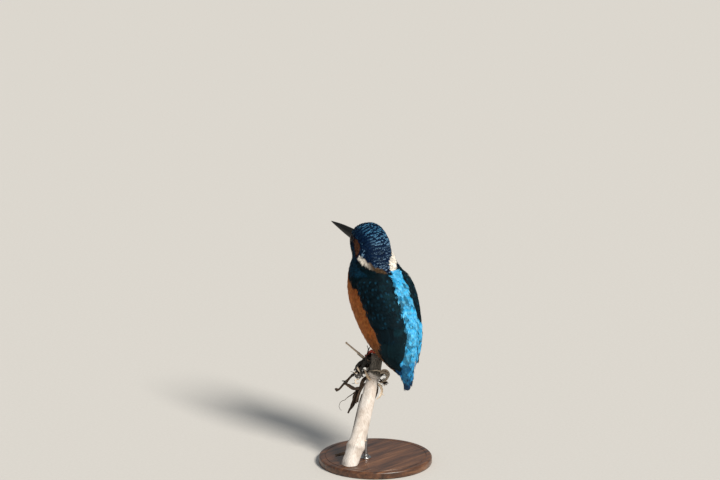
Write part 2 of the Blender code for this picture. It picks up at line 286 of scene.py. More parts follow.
# the folded wings, in shares along from the shoulder and across from the upper edge
wingForm = {
    "from": 4.75, "to": 9.30, "edge": 0.9, "swell": 1.8,  # mm above the body's form
    "left": ((0.0, 40), (0.08, 17), (0.20, 20), (0.32, 18), (0.55, 15), (0.75, 26), (0.90, 41), (1.0, 53)),
    "right": ((0.0, 44), (0.08, 21), (0.20, 22), (0.32, 29), (0.45, 36), (0.75, 38), (0.90, 45), (1.0, 56)),
    "lower": ((0.0, 72), (0.10, 94), (0.25, 91), (0.40, 86), (0.60, 81), (0.76, 91), (0.88, 89), (1.0, 67)),
    "dark": ((4.0, 120), (5.0, 124), (5.35, 106), (5.8, 90), (7.4, 78), (7.9, 82), (8.3, 100), (8.7, 112),
             (9.6, 108)),  # by station: how far round the dark plumage goes; near station 4 and past station 8.3 it reaches further as painted shade, under the neck and at the vent
}


def wingPlace(along, across, side):
    t = wingForm["from"] + (wingForm["to"] - wingForm["from"]) * along
    top = easedTable(wingForm["left" if side > 0 else "right"], along)
    low = easedTable(wingForm["lower"], along)
    return t, side * np.radians(top + (low - top) * across)


def wingShare(t, angle):
    along = (t - wingForm["from"]) / (wingForm["to"] - wingForm["from"])
    degrees = np.degrees(wrapAngle(angle))
    top = bySide(wingForm, along, degrees > 0)
    low = easedTable(wingForm["lower"], along)
    return along, (np.abs(degrees) - top) / (low - top)


def wingLift(t, angle):
    # how far the folded wings raise the coat over the body's form
    along, across = wingShare(t, angle)
    ends = smooth((along + 0.01) / 0.10) * smooth((1.03 - along) / 0.16)
    edges = smooth((across + 0.07) / 0.16) * smooth((1.07 - across) / 0.16)
    swell = np.sqrt(np.sin(math.pi * np.clip(across, 0, 1))) * smooth(along / 0.2) * smooth((1 - along) / 0.4)
    return ends * edges * (wingForm["edge"] + wingForm["swell"] * swell) * mm


# plumage markings, the same for the skin and the coat
plumageColours = {
    "crown": "#041A36", "crownBar": "#6ABCF0", "napeBar": "#A8D4F8",
    "stripe": "#2AA4E0", "stripeTip": "#78D2F8", "rump": "#1878B4", "rumpTip": "#46A8DA",
    "tail": "#133F68", "tailEdge": "#0A2644", "wing": "#05171F", "wingEdge": "#0A2A33",
    "wingSpot": "#24688A", "flight": "#061015", "scapular": "#061D25",
    # the ear coverts' two dark colours, the vent's dark brown and the neck patch's brown are painted shade
    "orange": "#A85A24", "orangeTip": "#C88344", "shadedEarOrange": "#42200F", "shadedEarTip": "#66381B",
    "vent": "#55351C",
    "white": "#F2EDE2", "patchShade": "#4E3C2A", "lore": "#0B0D11", "malar": "#082536", "malarSpot": "#1F5A7A",
    "leg": "#B03C26",
}
tint = {name: np.array(linearFromHex(code)) for name, code in plumageColours.items()}
neckPatch = {  # place and half width of each side's white patch, by degrees from the hind neck's middle
    "left": (((8, 4.74), (26, 4.62), (40, 4.36), (55, 4.08), (70, 3.80), (80, 3.78)),
             ((8, 0.07), (26, 0.12), (40, 0.17), (55, 0.21), (66, 0.19), (75, 0.08))),
    "right": (((5, 4.78), (18, 4.48), (37, 4.30), (55, 4.08), (70, 3.80), (80, 3.78)),
              ((5, 0.08), (18, 0.20), (37, 0.19), (55, 0.20), (66, 0.19), (75, 0.08))),
}
malarStripe = {  # degrees from the hind neck's middle, and half its width
    "middle": ((0, 112), (2, 106), (3, 108), (4, 100), (4.9, 84)),
    # near station 4 the stripe widens down to the breast's edge, which is painted shade under the head
    "half": ((0, 8), (2, 11), (3, 16), (4, 22), (4.9, 24)),
}
stripeReach = {  # degrees to each side of the spine's line
    "left": ((4.9, 12), (5.5, 20), (7.4, 20), (8.1, 30), (8.8, 42), (9.6, 66), (10.6, 80)),
    "right": ((4.9, 30), (5.3, 20), (5.9, 15), (6.2, 17), (6.6, 28), (7.1, 46), (8.1, 50), (8.6, 44),
              (9.6, 66), (10.6, 80)),
}


def hindMiddle(t):
    # degrees by which the hind neck's middle lies to the left, as the head turns to the right
    return 12 * smooth((t - 3.0) / 1.2) * (1 - 0.5 * smooth((t - 4.5) / 0.5)) * (1 - smooth((t - 5.0) / 1.0))


def patchPlace(apart, isLeft):
    return [bySide({word: neckPatch[word][k] for word in sides}, apart, isLeft) for k in (0, 1)]


def inNeckPatch(t, apart, isLeft, share=1.0):
    centre, half = patchPlace(apart, isLeft)
    return (np.abs(t - centre) < share * half) & (apart > np.where(isLeft, 10, 4)) & (apart < 75)


def crownArea(t, apart, isLeft):
    end = patchPlace(apart, isLeft)[0] + 0.05
    return (t < end) & (apart < easedTable(((0, 74), (1.2, 70), (1.9, 68), (2.6, 64), (3.3, 60)), t))


def markings(t, angle, stray=0.0):
    # base colour, tip colour and the strength of the tip's bar; stray blurs the edges
    degrees = np.degrees(wrapAngle(angle)) - hindMiddle(t)
    apart = np.abs(degrees) + 1.5 * stray
    t = t + 0.03 * stray
    base = np.zeros(t.shape + (3,))
    tip = np.zeros(t.shape + (3,))
    bar = np.zeros(t.shape)

    def paint(where, baseName, tipName, strength):
        base[where] = tint[baseName]
        tip[where] = tint[tipName]
        bar[where] = strength

    paint(t > -1, "orange", "orangeTip", 0.8)
    # painted shade: the belly's orange darkens to dark brown towards the vent
    intoVentShade = smooth((t - 7.3) / 1.2)[..., None]
    base, tip = mix(base, tint["vent"], intoVentShade), mix(tip, tint["vent"], intoVentShade)
    paint((t > 4.0) & (t < 9.6) & (apart < easedTable(wingForm["dark"], t)), "wing", "wingEdge", 0.5)
    paint((t < 4.02) & (apart < 109), "crown", "wingEdge", 0.4)
    paint((t < 3.55 + 0.6 * smooth((apart - 112) / 50)) & (apart > 112), "white", "white", 0.0)
    middle, half = easedTable(malarStripe["middle"], t), easedTable(malarStripe["half"], t)
    paint((t < 4.9) & (np.abs(apart - middle) < half), "malar", "malarSpot", 0.6)
    paint(crownArea(t, apart, degrees > 0), "crown", "crownBar", 1.0)
    nape = smooth((t - 2.4) / 1.8)[..., None] * (bar == 1.0)[..., None]
    tip = mix(tip, tint["napeBar"], nape)
    # painted shade: the ear coverts' orange is darkened
    ear = ((t - 2.86) / 0.72) ** 2 + ((apart - 79 - 4 * (t - 2.8)) / 10.5) ** 2 < 1
    paint(ear & (t > 1.9), "shadedEarOrange", "shadedEarTip", 1.0)
    paint((t < 1.25) & (np.abs(apart - 62 - 9 * t) < 8), "orange", "orangeTip", 0.8)
    paint((t < 1.55) & (np.abs(apart - 82 - 1.5 * t) < 7), "lore", "lore", 0.0)
    patch = inNeckPatch(t, apart, degrees > 0)
    paint(patch, "white", "white", 0.0)
    # painted shade: on the left side the white patch darkens to brown towards the hind neck
    fade = (smooth((60 - apart) / 28) * (degrees > 0))[..., None]
    base = np.where(patch[..., None], mix(tint["white"], tint["patchShade"], fade), base)
    tip = np.where(patch[..., None], base, tip)
    reach = bySide(stripeReach, t, degrees > 0)
    paint((t > np.where(degrees > 0, 4.92, 4.76)) & (t < 8.8) & (apart < reach), "stripe", "stripeTip", 1.0)
    paint((t >= 9.4) & (apart < 116), "tail", "tailEdge", 0.5)
    paint((t >= 8.8) & (t + 0.25 * stray < 10.7) & (apart < reach), "rump", "rumpTip", 1.0)
    return base, tip, bar


def unwrapPlace(t, angle):
    # the skin's own unwrap: round the body across and along it up, with the seam under the belly
    along = np.clip(t + 0.2, 0, 12.6) / 12.6
    return np.stack((0.5 + 0.49 * wrapAngle(angle) / math.pi, 0.99 - 0.98 * along), -1)


# the eyes' places, which the coat parts round and the lids follow
eyeForm = {
    "station": 1.72, "round": 80,  # on the head, as the solids have them
    "radius": 4.0, "cornea": 0.25,  # mm, and how far the cornea stands off the ball
    "opening": 2.45, "lidWidth": 0.45, "parting": 2.6, "rim": (0.36, 0.24), "coatRise": 0.26,
}


def eyeRoot(side):
    return np.array([eyeForm["station"]]), side * np.radians([eyeForm["round"]])


eyes = {}
for word, side in sides.items():
    low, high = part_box("eye_" + word)
    eyes[word] = (np.array((low + high) / 2), bodyFrame(*eyeRoot(side))[3][0])


def eyeReach(points, centre, axis):
    # height along the eye's axis, distance from that axis and the way out from it
    away = points - centre
    high = dot(away, axis)
    flat = away - high[..., None] * axis
    wide = np.linalg.norm(flat, axis=-1)
    return high, wide, flat / np.maximum(wide, 1e-9)[..., None]


def partRoundEyes(points):
    for centre, axis in eyes.values():
        high, wide, way = eyeReach(points, centre, axis)
        near = smooth((high + 1.0 * mm) / (1.5 * mm)) * smooth((8 * mm - wide) / (3 * mm))
        parting = eyeForm["parting"] * mm * near
        parted = np.cbrt(wide ** 3 + parting ** 3)
        points, wide = points + way * (parted - wide)[..., None], parted
        rise = eyeForm["coatRise"] * mm * smooth((4.6 * mm - wide) / (1.8 * mm)) * near
        points = points + axis * rise[..., None]
    return points


def nearEyes(points, reach):
    near = np.zeros(points.shape[:-1], bool)
    for centre, axis in eyes.values():
        high, wide, _ = eyeReach(points, centre, axis)
        near |= (high > 0) & (wide < reach)
    return near


# vanes: closed, thin feathers with a whole web and separate barbs along the end
def vaneTemplate(columns, rows):
    place = [(0.0, 0.0, 0.0)]
    kinds = [-1]
    faces = []
    for r in range(1, rows + 1):
        for c in range(columns + 1):
            x = 2 * c / columns - 1
            place.append((x, r / rows, 1 - x * x))
            kinds.append(-1)

    def web(r, c):
        return 1 + (r - 1) * (columns + 1) + c

    stripStart = len(place)
    for c in range(columns):
        x = (2 * c + 1) / columns - 1
        for level, shift in enumerate((-0.66, 0.0, 0.66, 0.0)):
            place.append((x + shift / columns, 1.0, 0.5 * (1 - x * x) if level == 1 else 0.0))
            kinds.append(4 * c + level)
        faces.append((0, web(1, c + 1), web(1, c)))
    for r in range(1, rows):
        for c in range(columns):
            faces.append((web(r, c), web(r, c + 1), web(r + 1, c + 1), web(r + 1, c)))
    outline = []
    for c in range(columns):
        low, high = web(rows, c), web(rows, c + 1)
        left, middle, right, tip = (stripStart + 4 * c + k for k in range(4))
        faces += [(low, high, middle), (high, right, middle), (right, tip, middle),
                  (tip, left, middle), (left, low, middle)]
        outline += [low, left, tip, right]
    faces.append((0, web(1, 0), web(1, columns)))
    for r in range(1, rows):
        faces.append((web(r, 0), web(r + 1, 0), web(r + 1, columns), web(r, columns)))
    faces.append((*outline, web(rows, columns)))
    place = np.array(place)
    return {"x": place[:, 0], "v": place[:, 1], "dome": place[:, 2], "kind": np.array(kinds),
            "faces": faces, "columns": columns}


templates = {
    "fine": vaneTemplate(5, 2),    # face and crown
    "body": vaneTemplate(7, 3),    # contour feathers
    "flight": vaneTemplate(11, 8),  # wing and tail quills
}


def joinVanes(name, template, verts, colour, numbers, rootUv):
    # every vane of a tract in one mesh, with its colour, barb numbers and bake patches
    count, each = verts.shape[:2]
    loops = np.concatenate([np.array(f) for f in template["faces"]])
    sizes = np.array([len(f) for f in template["faces"]])
    allLoops = (loops[None] + np.arange(count)[:, None] * each).ravel().astype(np.int32)
    starts = np.concatenate(([0], np.cumsum(np.tile(sizes, count))[:-1])).astype(np.int32)
    mesh = bpy.data.meshes.new(name)
    mesh.vertices.add(count * each)
    mesh.vertices.foreach_set("co", verts.reshape(-1).astype(np.float32))
    mesh.loops.add(len(allLoops))
    mesh.loops.foreach_set("vertex_index", allLoops)
    mesh.polygons.add(len(starts))
    mesh.polygons.foreach_set("loop_start", starts)
    mesh.update(calc_edges=True)
    addColour(mesh, "plumage", colour.reshape(-1, 3))
    for label, values in numbers.items():
        addNumbers(mesh, label, np.broadcast_to(values, (count, each)))
    patchSize = 0.003  # how much of the unwrap each vane takes
    strip = template["kind"] >= 0
    local = np.stack((template["x"] * 0.5, np.where(strip, 0.45, template["v"] * 0.7 - 0.5)), -1)
    uv = rootUv[:, None, :] + local[None] * patchSize
    layer = mesh.uv_layers.new(name="OFBake")
    layer.data.foreach_set("uv", uv.reshape(-1, 2)[allLoops].ravel().astype(np.float32))
    return mesh


def followLie(spec, steps):
    # each vane's middle line over the body, from its root along the lie of the coat
    t, angle = spec["t"].copy(), spec["angle"].copy()
    pathT, pathA = [t], [angle]
    for i in range(1, steps):
        _, slopeT, slopeA, normal = bodyFrame(t, angle)
        ahead = unit(slopeT)
        beside = np.cross(ahead, normal)
        heading = (spec["heading"] + spec.get("bend", 0.0) * i / steps)[:, None]
        way = ahead * np.cos(heading) + beside * np.sin(heading)
        moveT, moveA = surfaceSteps(slopeT, slopeA, way * (spec["length"] / (steps - 1))[:, None])
        t, angle = t + moveT, angle + moveA
        pathT.append(t)
        pathA.append(angle)
    return np.stack(pathT, 1), np.stack(pathA, 1)


vaneShape = {  # what a vane has where its tract doesn't say
    "fused": 0.66, "ragged": 0.06, "tipRound": 0.22, "rootWidth": 0.40, "widest": 0.55, "taper": 0.0,
    "rise": 0.7, "thick": 0.12 * mm, "roll": 0.0, "cup": 0.0, "shade": 1.0,
    "barFrom": 0.70, "barTo": 1.4, "barStrength": 0.0, "shaft": 0.35,
}


def layVanes(name, kind, spec, material):
    # spec has an array or one number for each quality of the tract's vanes, lengths in metres
    template = templates[kind]
    count = len(spec["t"])

    def quality(label):
        return np.broadcast_to(np.asarray(spec.get(label, vaneShape.get(label)), float), (count,))[:, None]

    pathT, pathA = spec["path"] if "path" in spec else followLie(spec, steps=9)
    steps = pathT.shape[1]
    point, slopeT, slopeA, normal = bodyFrame(pathT, pathA)
    across = unit(np.cross(np.gradient(point, axis=1), normal))
    sideT, sideA = surfaceSteps(slopeT, slopeA, across)

    x, level = template["x"][None], template["kind"] % 4
    strip = template["kind"] >= 0
    column = np.maximum(template["kind"], 0) // 4
    fused = quality("fused") * (1 - 0.12 * np.abs(x) ** 2)
    columnX = (2 * column + 1) / template["columns"] - 1
    ragged = dice.uniform(-1, 1, (count, template["columns"]))[:, column] * quality("ragged")
    end = 1 - quality("tipRound") * np.abs(columnX)[None] ** 2.2 + ragged
    end = np.maximum(end, fused + 0.05)
    v = template["v"][None] * fused
    v = np.where(strip, np.where(level == 3, end, fused + (end - fused) * 0.5), v)
    opening = np.sin(math.pi / 2 * np.clip(v / quality("widest"), 0, 1))
    outline = (quality("rootWidth") + (1 - quality("rootWidth")) * opening)
    outline = outline * (1 - quality("taper") * np.clip(v, 0, 1) ** 2)
    offset = x * outline * quality("width") / 2

    place = np.clip(v, 0, 1.2) * (steps - 1)
    low = np.clip(np.floor(place).astype(int), 0, steps - 2)
    part = place - low
    each = np.arange(count)[:, None]

    def read(path):
        return path[each, low] * (1 - part) + path[each, low + 1] * part

    vertT = read(pathT) + offset * read(sideT)
    vertA = read(pathA) + offset * read(sideA)
    height = mix(quality("rootHeight"), quality("tipHeight"), np.clip(v, 0, 1.2) ** quality("rise"))
    dome = template["dome"][None] * (v > 0)
    height = height + quality("thick") * (dome + quality("shaft") * np.exp(-(x / 0.14) ** 2) * (dome > 0.6))
    height = height + quality("roll") * x - quality("cup") * np.abs(x) ** 2
    verts = coatPoint(vertT, vertA, height + wingLift(vertT, vertA))
    if spec.get("parted"):
        verts = partRoundEyes(verts)

    bar = smooth((v - quality("barFrom")) / 0.08) * (1 - smooth((v - quality("barTo")) / 0.08))
    if "spotWide" in spec:
        bar = bar * np.exp(-(x / quality("spotWide")) ** 4)
    base, tip = spec["base"][:, None, :], spec["tip"][:, None, :]
    if spec.get("followMarks"):
        # small vanes take each marking's edge where it crosses them
        base, tip, strength = markings(vertT + 0.06 * (1 - v), vertA, 0.5 * dice.normal(0, 1, (count, 1)))
        bar = bar * strength
    bar = bar * quality("barStrength")
    colour = mix(base, tip, bar[..., None])
    # each vane darkens towards its root, where the vanes over it cover it: partly its real darker base,
    # partly painted shade
    depth = 0.50 + 0.50 * smooth(v / 0.7)
    colour = colour * (depth * quality("shade"))[..., None]
    numbers = {"barbLine": (v * quality("length") - 0.7 * np.abs(offset)) / mm,
               "across": x, "tuft": dice.uniform(0, 1, (count, 1))}
    mesh = joinVanes(name, template, verts, colour, numbers, unwrapPlace(spec["t"], spec["angle"]))
    triangles = sum(len(f) - 2 for f in template["faces"]) * count
    print(f"{name}: {count} vanes, {triangles} triangles")
    return finishPiece(name, mesh, material, 60)


def scatterRoots(look, belongs):
    # roots at random on the body, no two closer than the tract's spacing there
    low, high = look["range"]
    first, more = look["spacing"]

    def spacing(t):
        return (first + more * smooth(t / 2.5)) * mm

    probe = dice.uniform((low, -math.pi), (high, math.pi), (4000, 2))
    _, slopeT, slopeA, _ = bodyFrame(probe[:, 0], probe[:, 1])
    areas = np.linalg.norm(np.cross(slopeT, slopeA), axis=-1)
    kept = belongs(probe[:, 0], probe[:, 1])
    density = areas * kept / spacing(probe[:, 0]) ** 2
    tries = int(9 * density.mean() * (high - low) * 2 * math.pi * areas.max() / areas[kept].mean())
    t = dice.uniform(low, high, tries)
    angle = dice.uniform(-math.pi, math.pi, tries)
    point, slopeT, slopeA, _ = bodyFrame(t, angle)
    keep = dice.uniform(0, areas.max(), tries) < np.linalg.norm(np.cross(slopeT, slopeA), axis=-1)
    keep &= belongs(t, angle)
    t, angle, point = t[keep], angle[keep], point[keep]
    apart = spacing(t)
    cell = apart.max()
    filled, chosen = {}, []
    for i, (place, reach) in enumerate(zip(point.tolist(), apart.tolist())):
        home = tuple(int(c // cell) for c in place)
        near = [j for dx in (-1, 0, 1) for dy in (-1, 0, 1) for dz in (-1, 0, 1)
                for j in filled.get((home[0] + dx, home[1] + dy, home[2] + dz), ())]
        if all(math.dist(place, point[j]) >= reach for j in near):
            filled.setdefault(home, []).append(i)
            chosen.append(i)
    return t[chosen], angle[chosen]


# plumage: keratin barbs on a quill, which give the eye fine slanting lines and a soft, broken gloss
def plumageMaterial(name, look):
    material, tree, shader, place = startMaterial(name, {
        "Roughness": look["roughness"], "IOR": 1.4, "Specular IOR Level": look["specular"],
        "Sheen Weight": look["sheen"], "Sheen Roughness": 0.45,
        "Sheen Tint": (*linearFromHex(look["sheenColour"]), 1)})
    dye, line, tuft = (addNode(tree, "ShaderNodeAttribute", {"attribute_name": label})
                       for label in ("plumage", "barbLine", "tuft"))
    # barbs lie 0.05 mm apart on a real vane, and are drawn coarser here so that they show
    turns = addNode(tree, "ShaderNodeMath", {"operation": "MULTIPLY"}, {1: 2 * math.pi / look["barbSpacing"]},
                    {0: line.outputs["Fac"]})
    wave = addNode(tree, "ShaderNodeMath", {"operation": "SINE"}, links={0: turns.outputs[0]})
    mottle = addNode(tree, "ShaderNodeTexNoise", values={"Scale": 1 / (look["mottle"] * mm), "Detail": 3.0},
                     links={"Vector": place})
    level = addNode(tree, "ShaderNodeMapRange", links={"Value": wave.outputs[0]}, values={
        "From Min": -1.0, "To Min": 1 - look["barbDepth"], "To Max": 1.10})
    each = addNode(tree, "ShaderNodeMapRange", links={"Value": tuft.outputs["Fac"]}, values={
        "To Min": 0.82, "To Max": 1.18})
    patchy = addNode(tree, "ShaderNodeMapRange", links={"Value": mottle.outputs["Fac"]}, values={
        "From Min": 0.3, "From Max": 0.7, "To Min": 0.85, "To Max": 1.12})
    for share in (each, patchy):
        level = addNode(tree, "ShaderNodeMath", {"operation": "MULTIPLY"},
                        links={0: level.outputs[0], 1: share.outputs[0]})
    shaded = addNode(tree, "ShaderNodeVectorMath", {"operation": "SCALE"},
                     links={0: dye.outputs["Color"], "Scale": level.outputs[0]})
    finishShader(tree, shader, shaded.outputs[0], wave.outputs[0], look["bump"], 0.04)
    return material


plumageLooks = {
    "crownPlumage": {
        "barbDepth": 0.18, "roughness": 0.66, "specular": 0.08, "sheen": 0.0, "sheenColour": "#7FB8D8",
        "barbSpacing": 0.30, "mottle": 2.2, "bump": 0.5},
    "azurePlumage": {
        "barbDepth": 0.16, "roughness": 0.55, "specular": 0.20, "sheen": 0.02, "sheenColour": "#B8E8FF",
        "barbSpacing": 0.34, "mottle": 3.0, "bump": 0.5},
    "whitePlumage": {
        "barbDepth": 0.10, "roughness": 0.70, "specular": 0.20, "sheen": 0.15, "sheenColour": "#FFFFFF",
        "barbSpacing": 0.30, "mottle": 3.0, "bump": 0.3},
    "orangePlumage": {
        "barbDepth": 0.16, "roughness": 0.70, "specular": 0.25, "sheen": 0.25, "sheenColour": "#F0B080",
        "barbSpacing": 0.36, "mottle": 4.0, "bump": 0.4},
    "wingPlumage": {
        "barbDepth": 0.20, "roughness": 0.64, "specular": 0.10, "sheen": 0.0, "sheenColour": "#3F90B0",
        "barbSpacing": 0.36, "mottle": 4.0, "bump": 0.6},
    "tailPlumage": {
        "barbDepth": 0.18, "roughness": 0.45, "specular": 0.25, "sheen": 0.0, "sheenColour": "#6090D0",
        "barbSpacing": 0.40, "mottle": 5.0, "bump": 0.6},
}
plumage = {name: plumageMaterial(name, look) for name, look in plumageLooks.items()}


# skin: thin and matt under the coat, showing only between the vanes
def skinMaterial():
    material, tree, shader, place = startMaterial("birdSkin", {"Roughness": 0.75, "Specular IOR Level": 0.25})
    dye = addNode(tree, "ShaderNodeAttribute", {"attribute_name": "plumage"})
    pores = addNode(tree, "ShaderNodeTexVoronoi", values={"Scale": 1 / (0.9 * mm)}, links={"Vector": place})
    level = addNode(tree, "ShaderNodeMapRange", values={"To Min": 0.65, "To Max": 1.0},
                    links={"Value": pores.outputs["Distance"]})
    shaded = addNode(tree, "ShaderNodeVectorMath", {"operation": "SCALE"},
                     links={0: dye.outputs["Color"], "Scale": level.outputs[0]})
    finishShader(tree, shader, shaded.outputs[0], pores.outputs["Distance"], 0.4, 0.1)
    return material


# legs: wet-looking coral scutes, a hard glossy skin in small plates
def legMaterial():
    material, tree, shader, place = startMaterial("legScutes", {
        "Roughness": 0.38, "Specular IOR Level": 0.5, "Subsurface Weight": 0.12,
        "Subsurface Scale": 0.6 * mm, "Coat Weight": 0.15, "Coat Roughness": 0.3})
    plates = addNode(tree, "ShaderNodeTexVoronoi", values={"Scale": 1 / (0.55 * mm)}, links={"Vector": place})
    patches = addNode(tree, "ShaderNodeTexNoise", values={"Scale": 1 / (2.5 * mm), "Detail": 4.0},
                      links={"Vector": place})
    coral = addNode(tree, "ShaderNodeValToRGB", links={"Fac": patches.outputs["Fac"]},
                    stops=((0.30, "#8A2A1C"), (0.62, "#D0492C")))
    level = addNode(tree, "ShaderNodeMapRange", values={"To Min": 0.75, "To Max": 1.1},
                    links={"Value": plates.outputs["Distance"]})
    shaded = addNode(tree, "ShaderNodeVectorMath", {"operation": "SCALE"},
                     links={0: coral.outputs["Color"], "Scale": level.outputs[0]})
    finishShader(tree, shader, shaded.outputs[0], plates.outputs["Distance"], 0.5, 0.08)
    return material


skinForm = {
    "headRows": 110, "trunkRows": 105, "around": 208, "neckAt": 3.4, "endsAt": 10.7,
    "dish": ((0.5, 1.0), (0.9, 0.9), (0.97, 0.3)), "tailEnd": ((0.9, 0.5), (0.6, 1.1)),
    # the skin's 0.6 darkening is painted shade under the coat
    "underCoatShade": 0.6, "socket": 3.3,
}


def skinDepth(t):
    # the coat's depth: how far the skin lies inside the bird's outline
    head, trunk, tail = smooth(t / 0.7), smooth((t - 3.0) / 1.8), smooth((t - 9.6) / 0.9)
    return (0.15 + 0.45 * head + 0.75 * trunk - 0.5 * tail) * mm


def settleRoundEyes(points):
    # a socket that wraps each eye, and a flat lid round its opening
    cup = (eyeForm["radius"] + 0.10) * mm
    opening, lidWidth = eyeForm["opening"] * mm, eyeForm["lidWidth"] * mm
    edge = math.asin(opening / cup)
    for centre, axis in eyes.values():
        high, wide, way = eyeReach(points, centre, axis)
        turn = math.pi - (math.pi - edge) * np.clip(wide / opening, 0, 1)
        inside = centre + cup * (np.cos(turn)[..., None] * axis + np.sin(turn)[..., None] * way)
        share = 1 - smooth((wide - opening - 0.4 * mm) / lidWidth)
        lid = points + ((cup * math.cos(edge) - high) * share)[..., None] * axis
        close = (high > 0) & (wide < opening + lidWidth + 0.5 * mm)
        points = np.where((close & (wide >= opening))[..., None], lid, points)
        points = np.where((close & (wide < opening))[..., None], inside, points)
    return points


def smoothLine(points, span):
    # the running mean of a line's points, which takes half the span off each end
    return np.stack([np.convolve(points[:, k], np.ones(span) / span, "valid") for k in range(3)], 1)


# each toe's heading from forward, its length and how far it drops, in degrees and mm
toes = {"inner": (-12, 6.2, 4.0), "middle": (4, 7.8, 5.2), "outer": (22, 6.8, 4.6), "hind": (176, 5.6, 3.0)}


def legTubes(side):
    # shank, thigh stub and four toes in mm from the feet's middle; the solids have the same lines
    sole = np.array((-4.6, side * 3.0 - 1.8, 1.45))
    hip = np.array((-10.0, side * 5.8 - 1.2, 9.2))
    ankle = np.array((-7.6, side * 4.1 - 1.8, 3.8))
    share = np.linspace(0, 1, 30)[:, None]
    shank = np.where(share < 0.6, mix(hip, ankle, share / 0.6),
                     mix(ankle, sole + (0, 0, 0.3), np.clip((share - 0.6) / 0.4, 0, 1)))
    shank = smoothLine(np.pad(shank, ((2, 2), (0, 0)), "edge"), 5)
    plates = 0.05 * np.abs(np.sin(share[:, 0] * 9 * math.pi))
    tubes = [(shank, (1.22 - 0.1 * np.sin(share[:, 0] * math.pi)) * (1 + plates))]
    claws = {}
    u, v = np.linspace(0, 1, 36), np.linspace(0, 1, 24)
    pads = 0.10 * np.cos(u * 3 * 2 * math.pi) + 0.05 * np.abs(np.sin(u * 12 * math.pi))
    rounded = np.sqrt(np.clip(1 - (np.maximum(u - 0.93, 0) / 0.075) ** 2, 0.05, 1))
    for toe, (heading, length, drop) in toes.items():
        way = math.radians(heading) * side
        fall = drop * np.maximum(0, (u - 0.35) / 0.65) ** 1.6
        line = sole + np.stack((length * u * math.cos(way), length * u * math.sin(way), -fall), 1)
        tubes.append((line, 0.85 * (1.24 - 0.36 * u) * (1 + pads) * rounded))
        claw = line[-1] + unit(line[-1] - line[-7]) * (0.3 + 3.4 * v[:, None] * 0.9)
        claw[:, 2] -= 3.4 * 0.45 * v * v
        claws[toe] = (claw, 0.55 * (1 - 0.86 * v ** 1.3))
    return tubes, claws


def birdToPart(points):
    points = np.asarray(points) * mm
    return toPart(points[..., 0], points[..., 1], points[..., 2])


def unite(target, cutters):
    for cutter in cutters:
        joiner = target.modifiers.new("join", "BOOLEAN")
        joiner.operation, joiner.object = "UNION", cutter
    graph = bpy.context.evaluated_depsgraph_get()
    mesh = bpy.data.meshes.new_from_object(target.evaluated_get(graph))
    target.modifiers.clear()
    target.data = mesh
    for cutter in cutters:
        bpy.data.objects.remove(cutter)


def skinRings():
    neckAt = skinForm["neckAt"]
    t = np.concatenate((np.linspace(0, neckAt, skinForm["headRows"], endpoint=False),
                        np.linspace(neckAt, skinForm["endsAt"], skinForm["trunkRows"])))
    angle = -math.pi + 2 * math.pi * (np.arange(skinForm["around"]) + 0.5) / skinForm["around"]
    t, angle = np.meshgrid(t, angle, indexing="ij")
    rings = settleRoundEyes(coatPoint(t, angle, wingLift(t, angle) - skinDepth(t)))
    core = rings.mean(1, keepdims=True)
    # the bill's end of the skin is dished, to take the bill's root; the tail's end is rounded off
    inwards, outwards = core[8:9] - core[:1], unit(core[-1:] - core[-3:-2]) * mm
    front = [mix(core[:1], rings[:1], share) + inwards * deep for share, deep in skinForm["dish"]]
    back = [mix(core[-1:], rings[-1:], share) + outwards * far for share, far in skinForm["tailEnd"]]
    rings = np.concatenate(front + [rings] + back)
    t = np.concatenate((t[:3] * 0, t, t[-2:] + 0.1))
    return rings, t, np.concatenate((angle[:3], angle, angle[-2:]))


def makeLimb(line, radii, legSkin):
    mesh = meshFrom("limb", *loftRings(birdToPart(tubeRings(line, radii, 20))[:, ::-1]))
    addColour(mesh, "plumage", tint["leg"])
    mesh.materials.append(None)
    mesh.materials.append(legSkin)
    mesh.polygons.foreach_set("material_index", [1] * len(mesh.polygons))
    return addObject("limb", mesh)


def makeSkin():
    rings, t, angle = skinRings()
    mesh = meshFrom("skin", *loftRings(rings))
    base, tip, bar = markings(t, angle)
    # darker than the coat, as painted shade under it, and dark in the eyes' sockets
    colour = mix(base, tip, 0.3 * bar[..., None]).reshape(-1, 3) * skinForm["underCoatShade"]
    colour[nearEyes(rings.reshape(-1, 3), skinForm["socket"] * mm)] = linearFromHex("#15151A")
    addColour(mesh, "plumage", np.concatenate((colour, colour[:1], colour[-1:])))
    skin = addObject("skin", mesh)
    legSkin = legMaterial()
    mesh.materials.append(skinMaterial())
    mesh.materials.append(legSkin)
    for word, side in sides.items():
        tubes, claws = legTubes(side)
        unite(skin, [makeLimb(line, radii, legSkin) for line, radii in tubes])
        for toe, (line, radii) in claws.items():
            rings = birdToPart(tubeRings(line, radii, 16))[:, ::-1]
            claw = loftPiece(f"hooked_{toe}_{word}", rings, clawHorn)
            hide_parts(f"claw_{toe}_{word}")
    skin.data.shade_smooth()
    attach(skin, "root")
    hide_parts("head", "neck", "trunk", "tail", "wing_left", "wing_right", "leg_left", "leg_right")
    print(f"skin: {len(skin.data.polygons)} faces")


# horn: smooth grown keratin with faint lines along it, dark and softly polished
def hornMaterial(name, dark, pale, roughness, lineSize):
    material, tree, shader, place = startMaterial(name, {"Roughness": roughness, "Specular IOR Level": 0.2})
    squeeze = addNode(tree, "ShaderNodeMapping", values={"Scale": (1.0, 0.12, 1.0)}, links={"Vector": place})
    lines = addNode(tree, "ShaderNodeTexNoise", values={"Scale": 1 / (lineSize * mm), "Detail": 5.0},
                    links={"Vector": squeeze.outputs["Vector"]})
    colour = addNode(tree, "ShaderNodeValToRGB", links={"Fac": lines.outputs["Fac"]},
                     stops=((0.35, dark), (0.70, pale)))
    finishShader(tree, shader, colour.outputs["Color"], lines.outputs["Fac"], 0.3, 0.05)
    return material


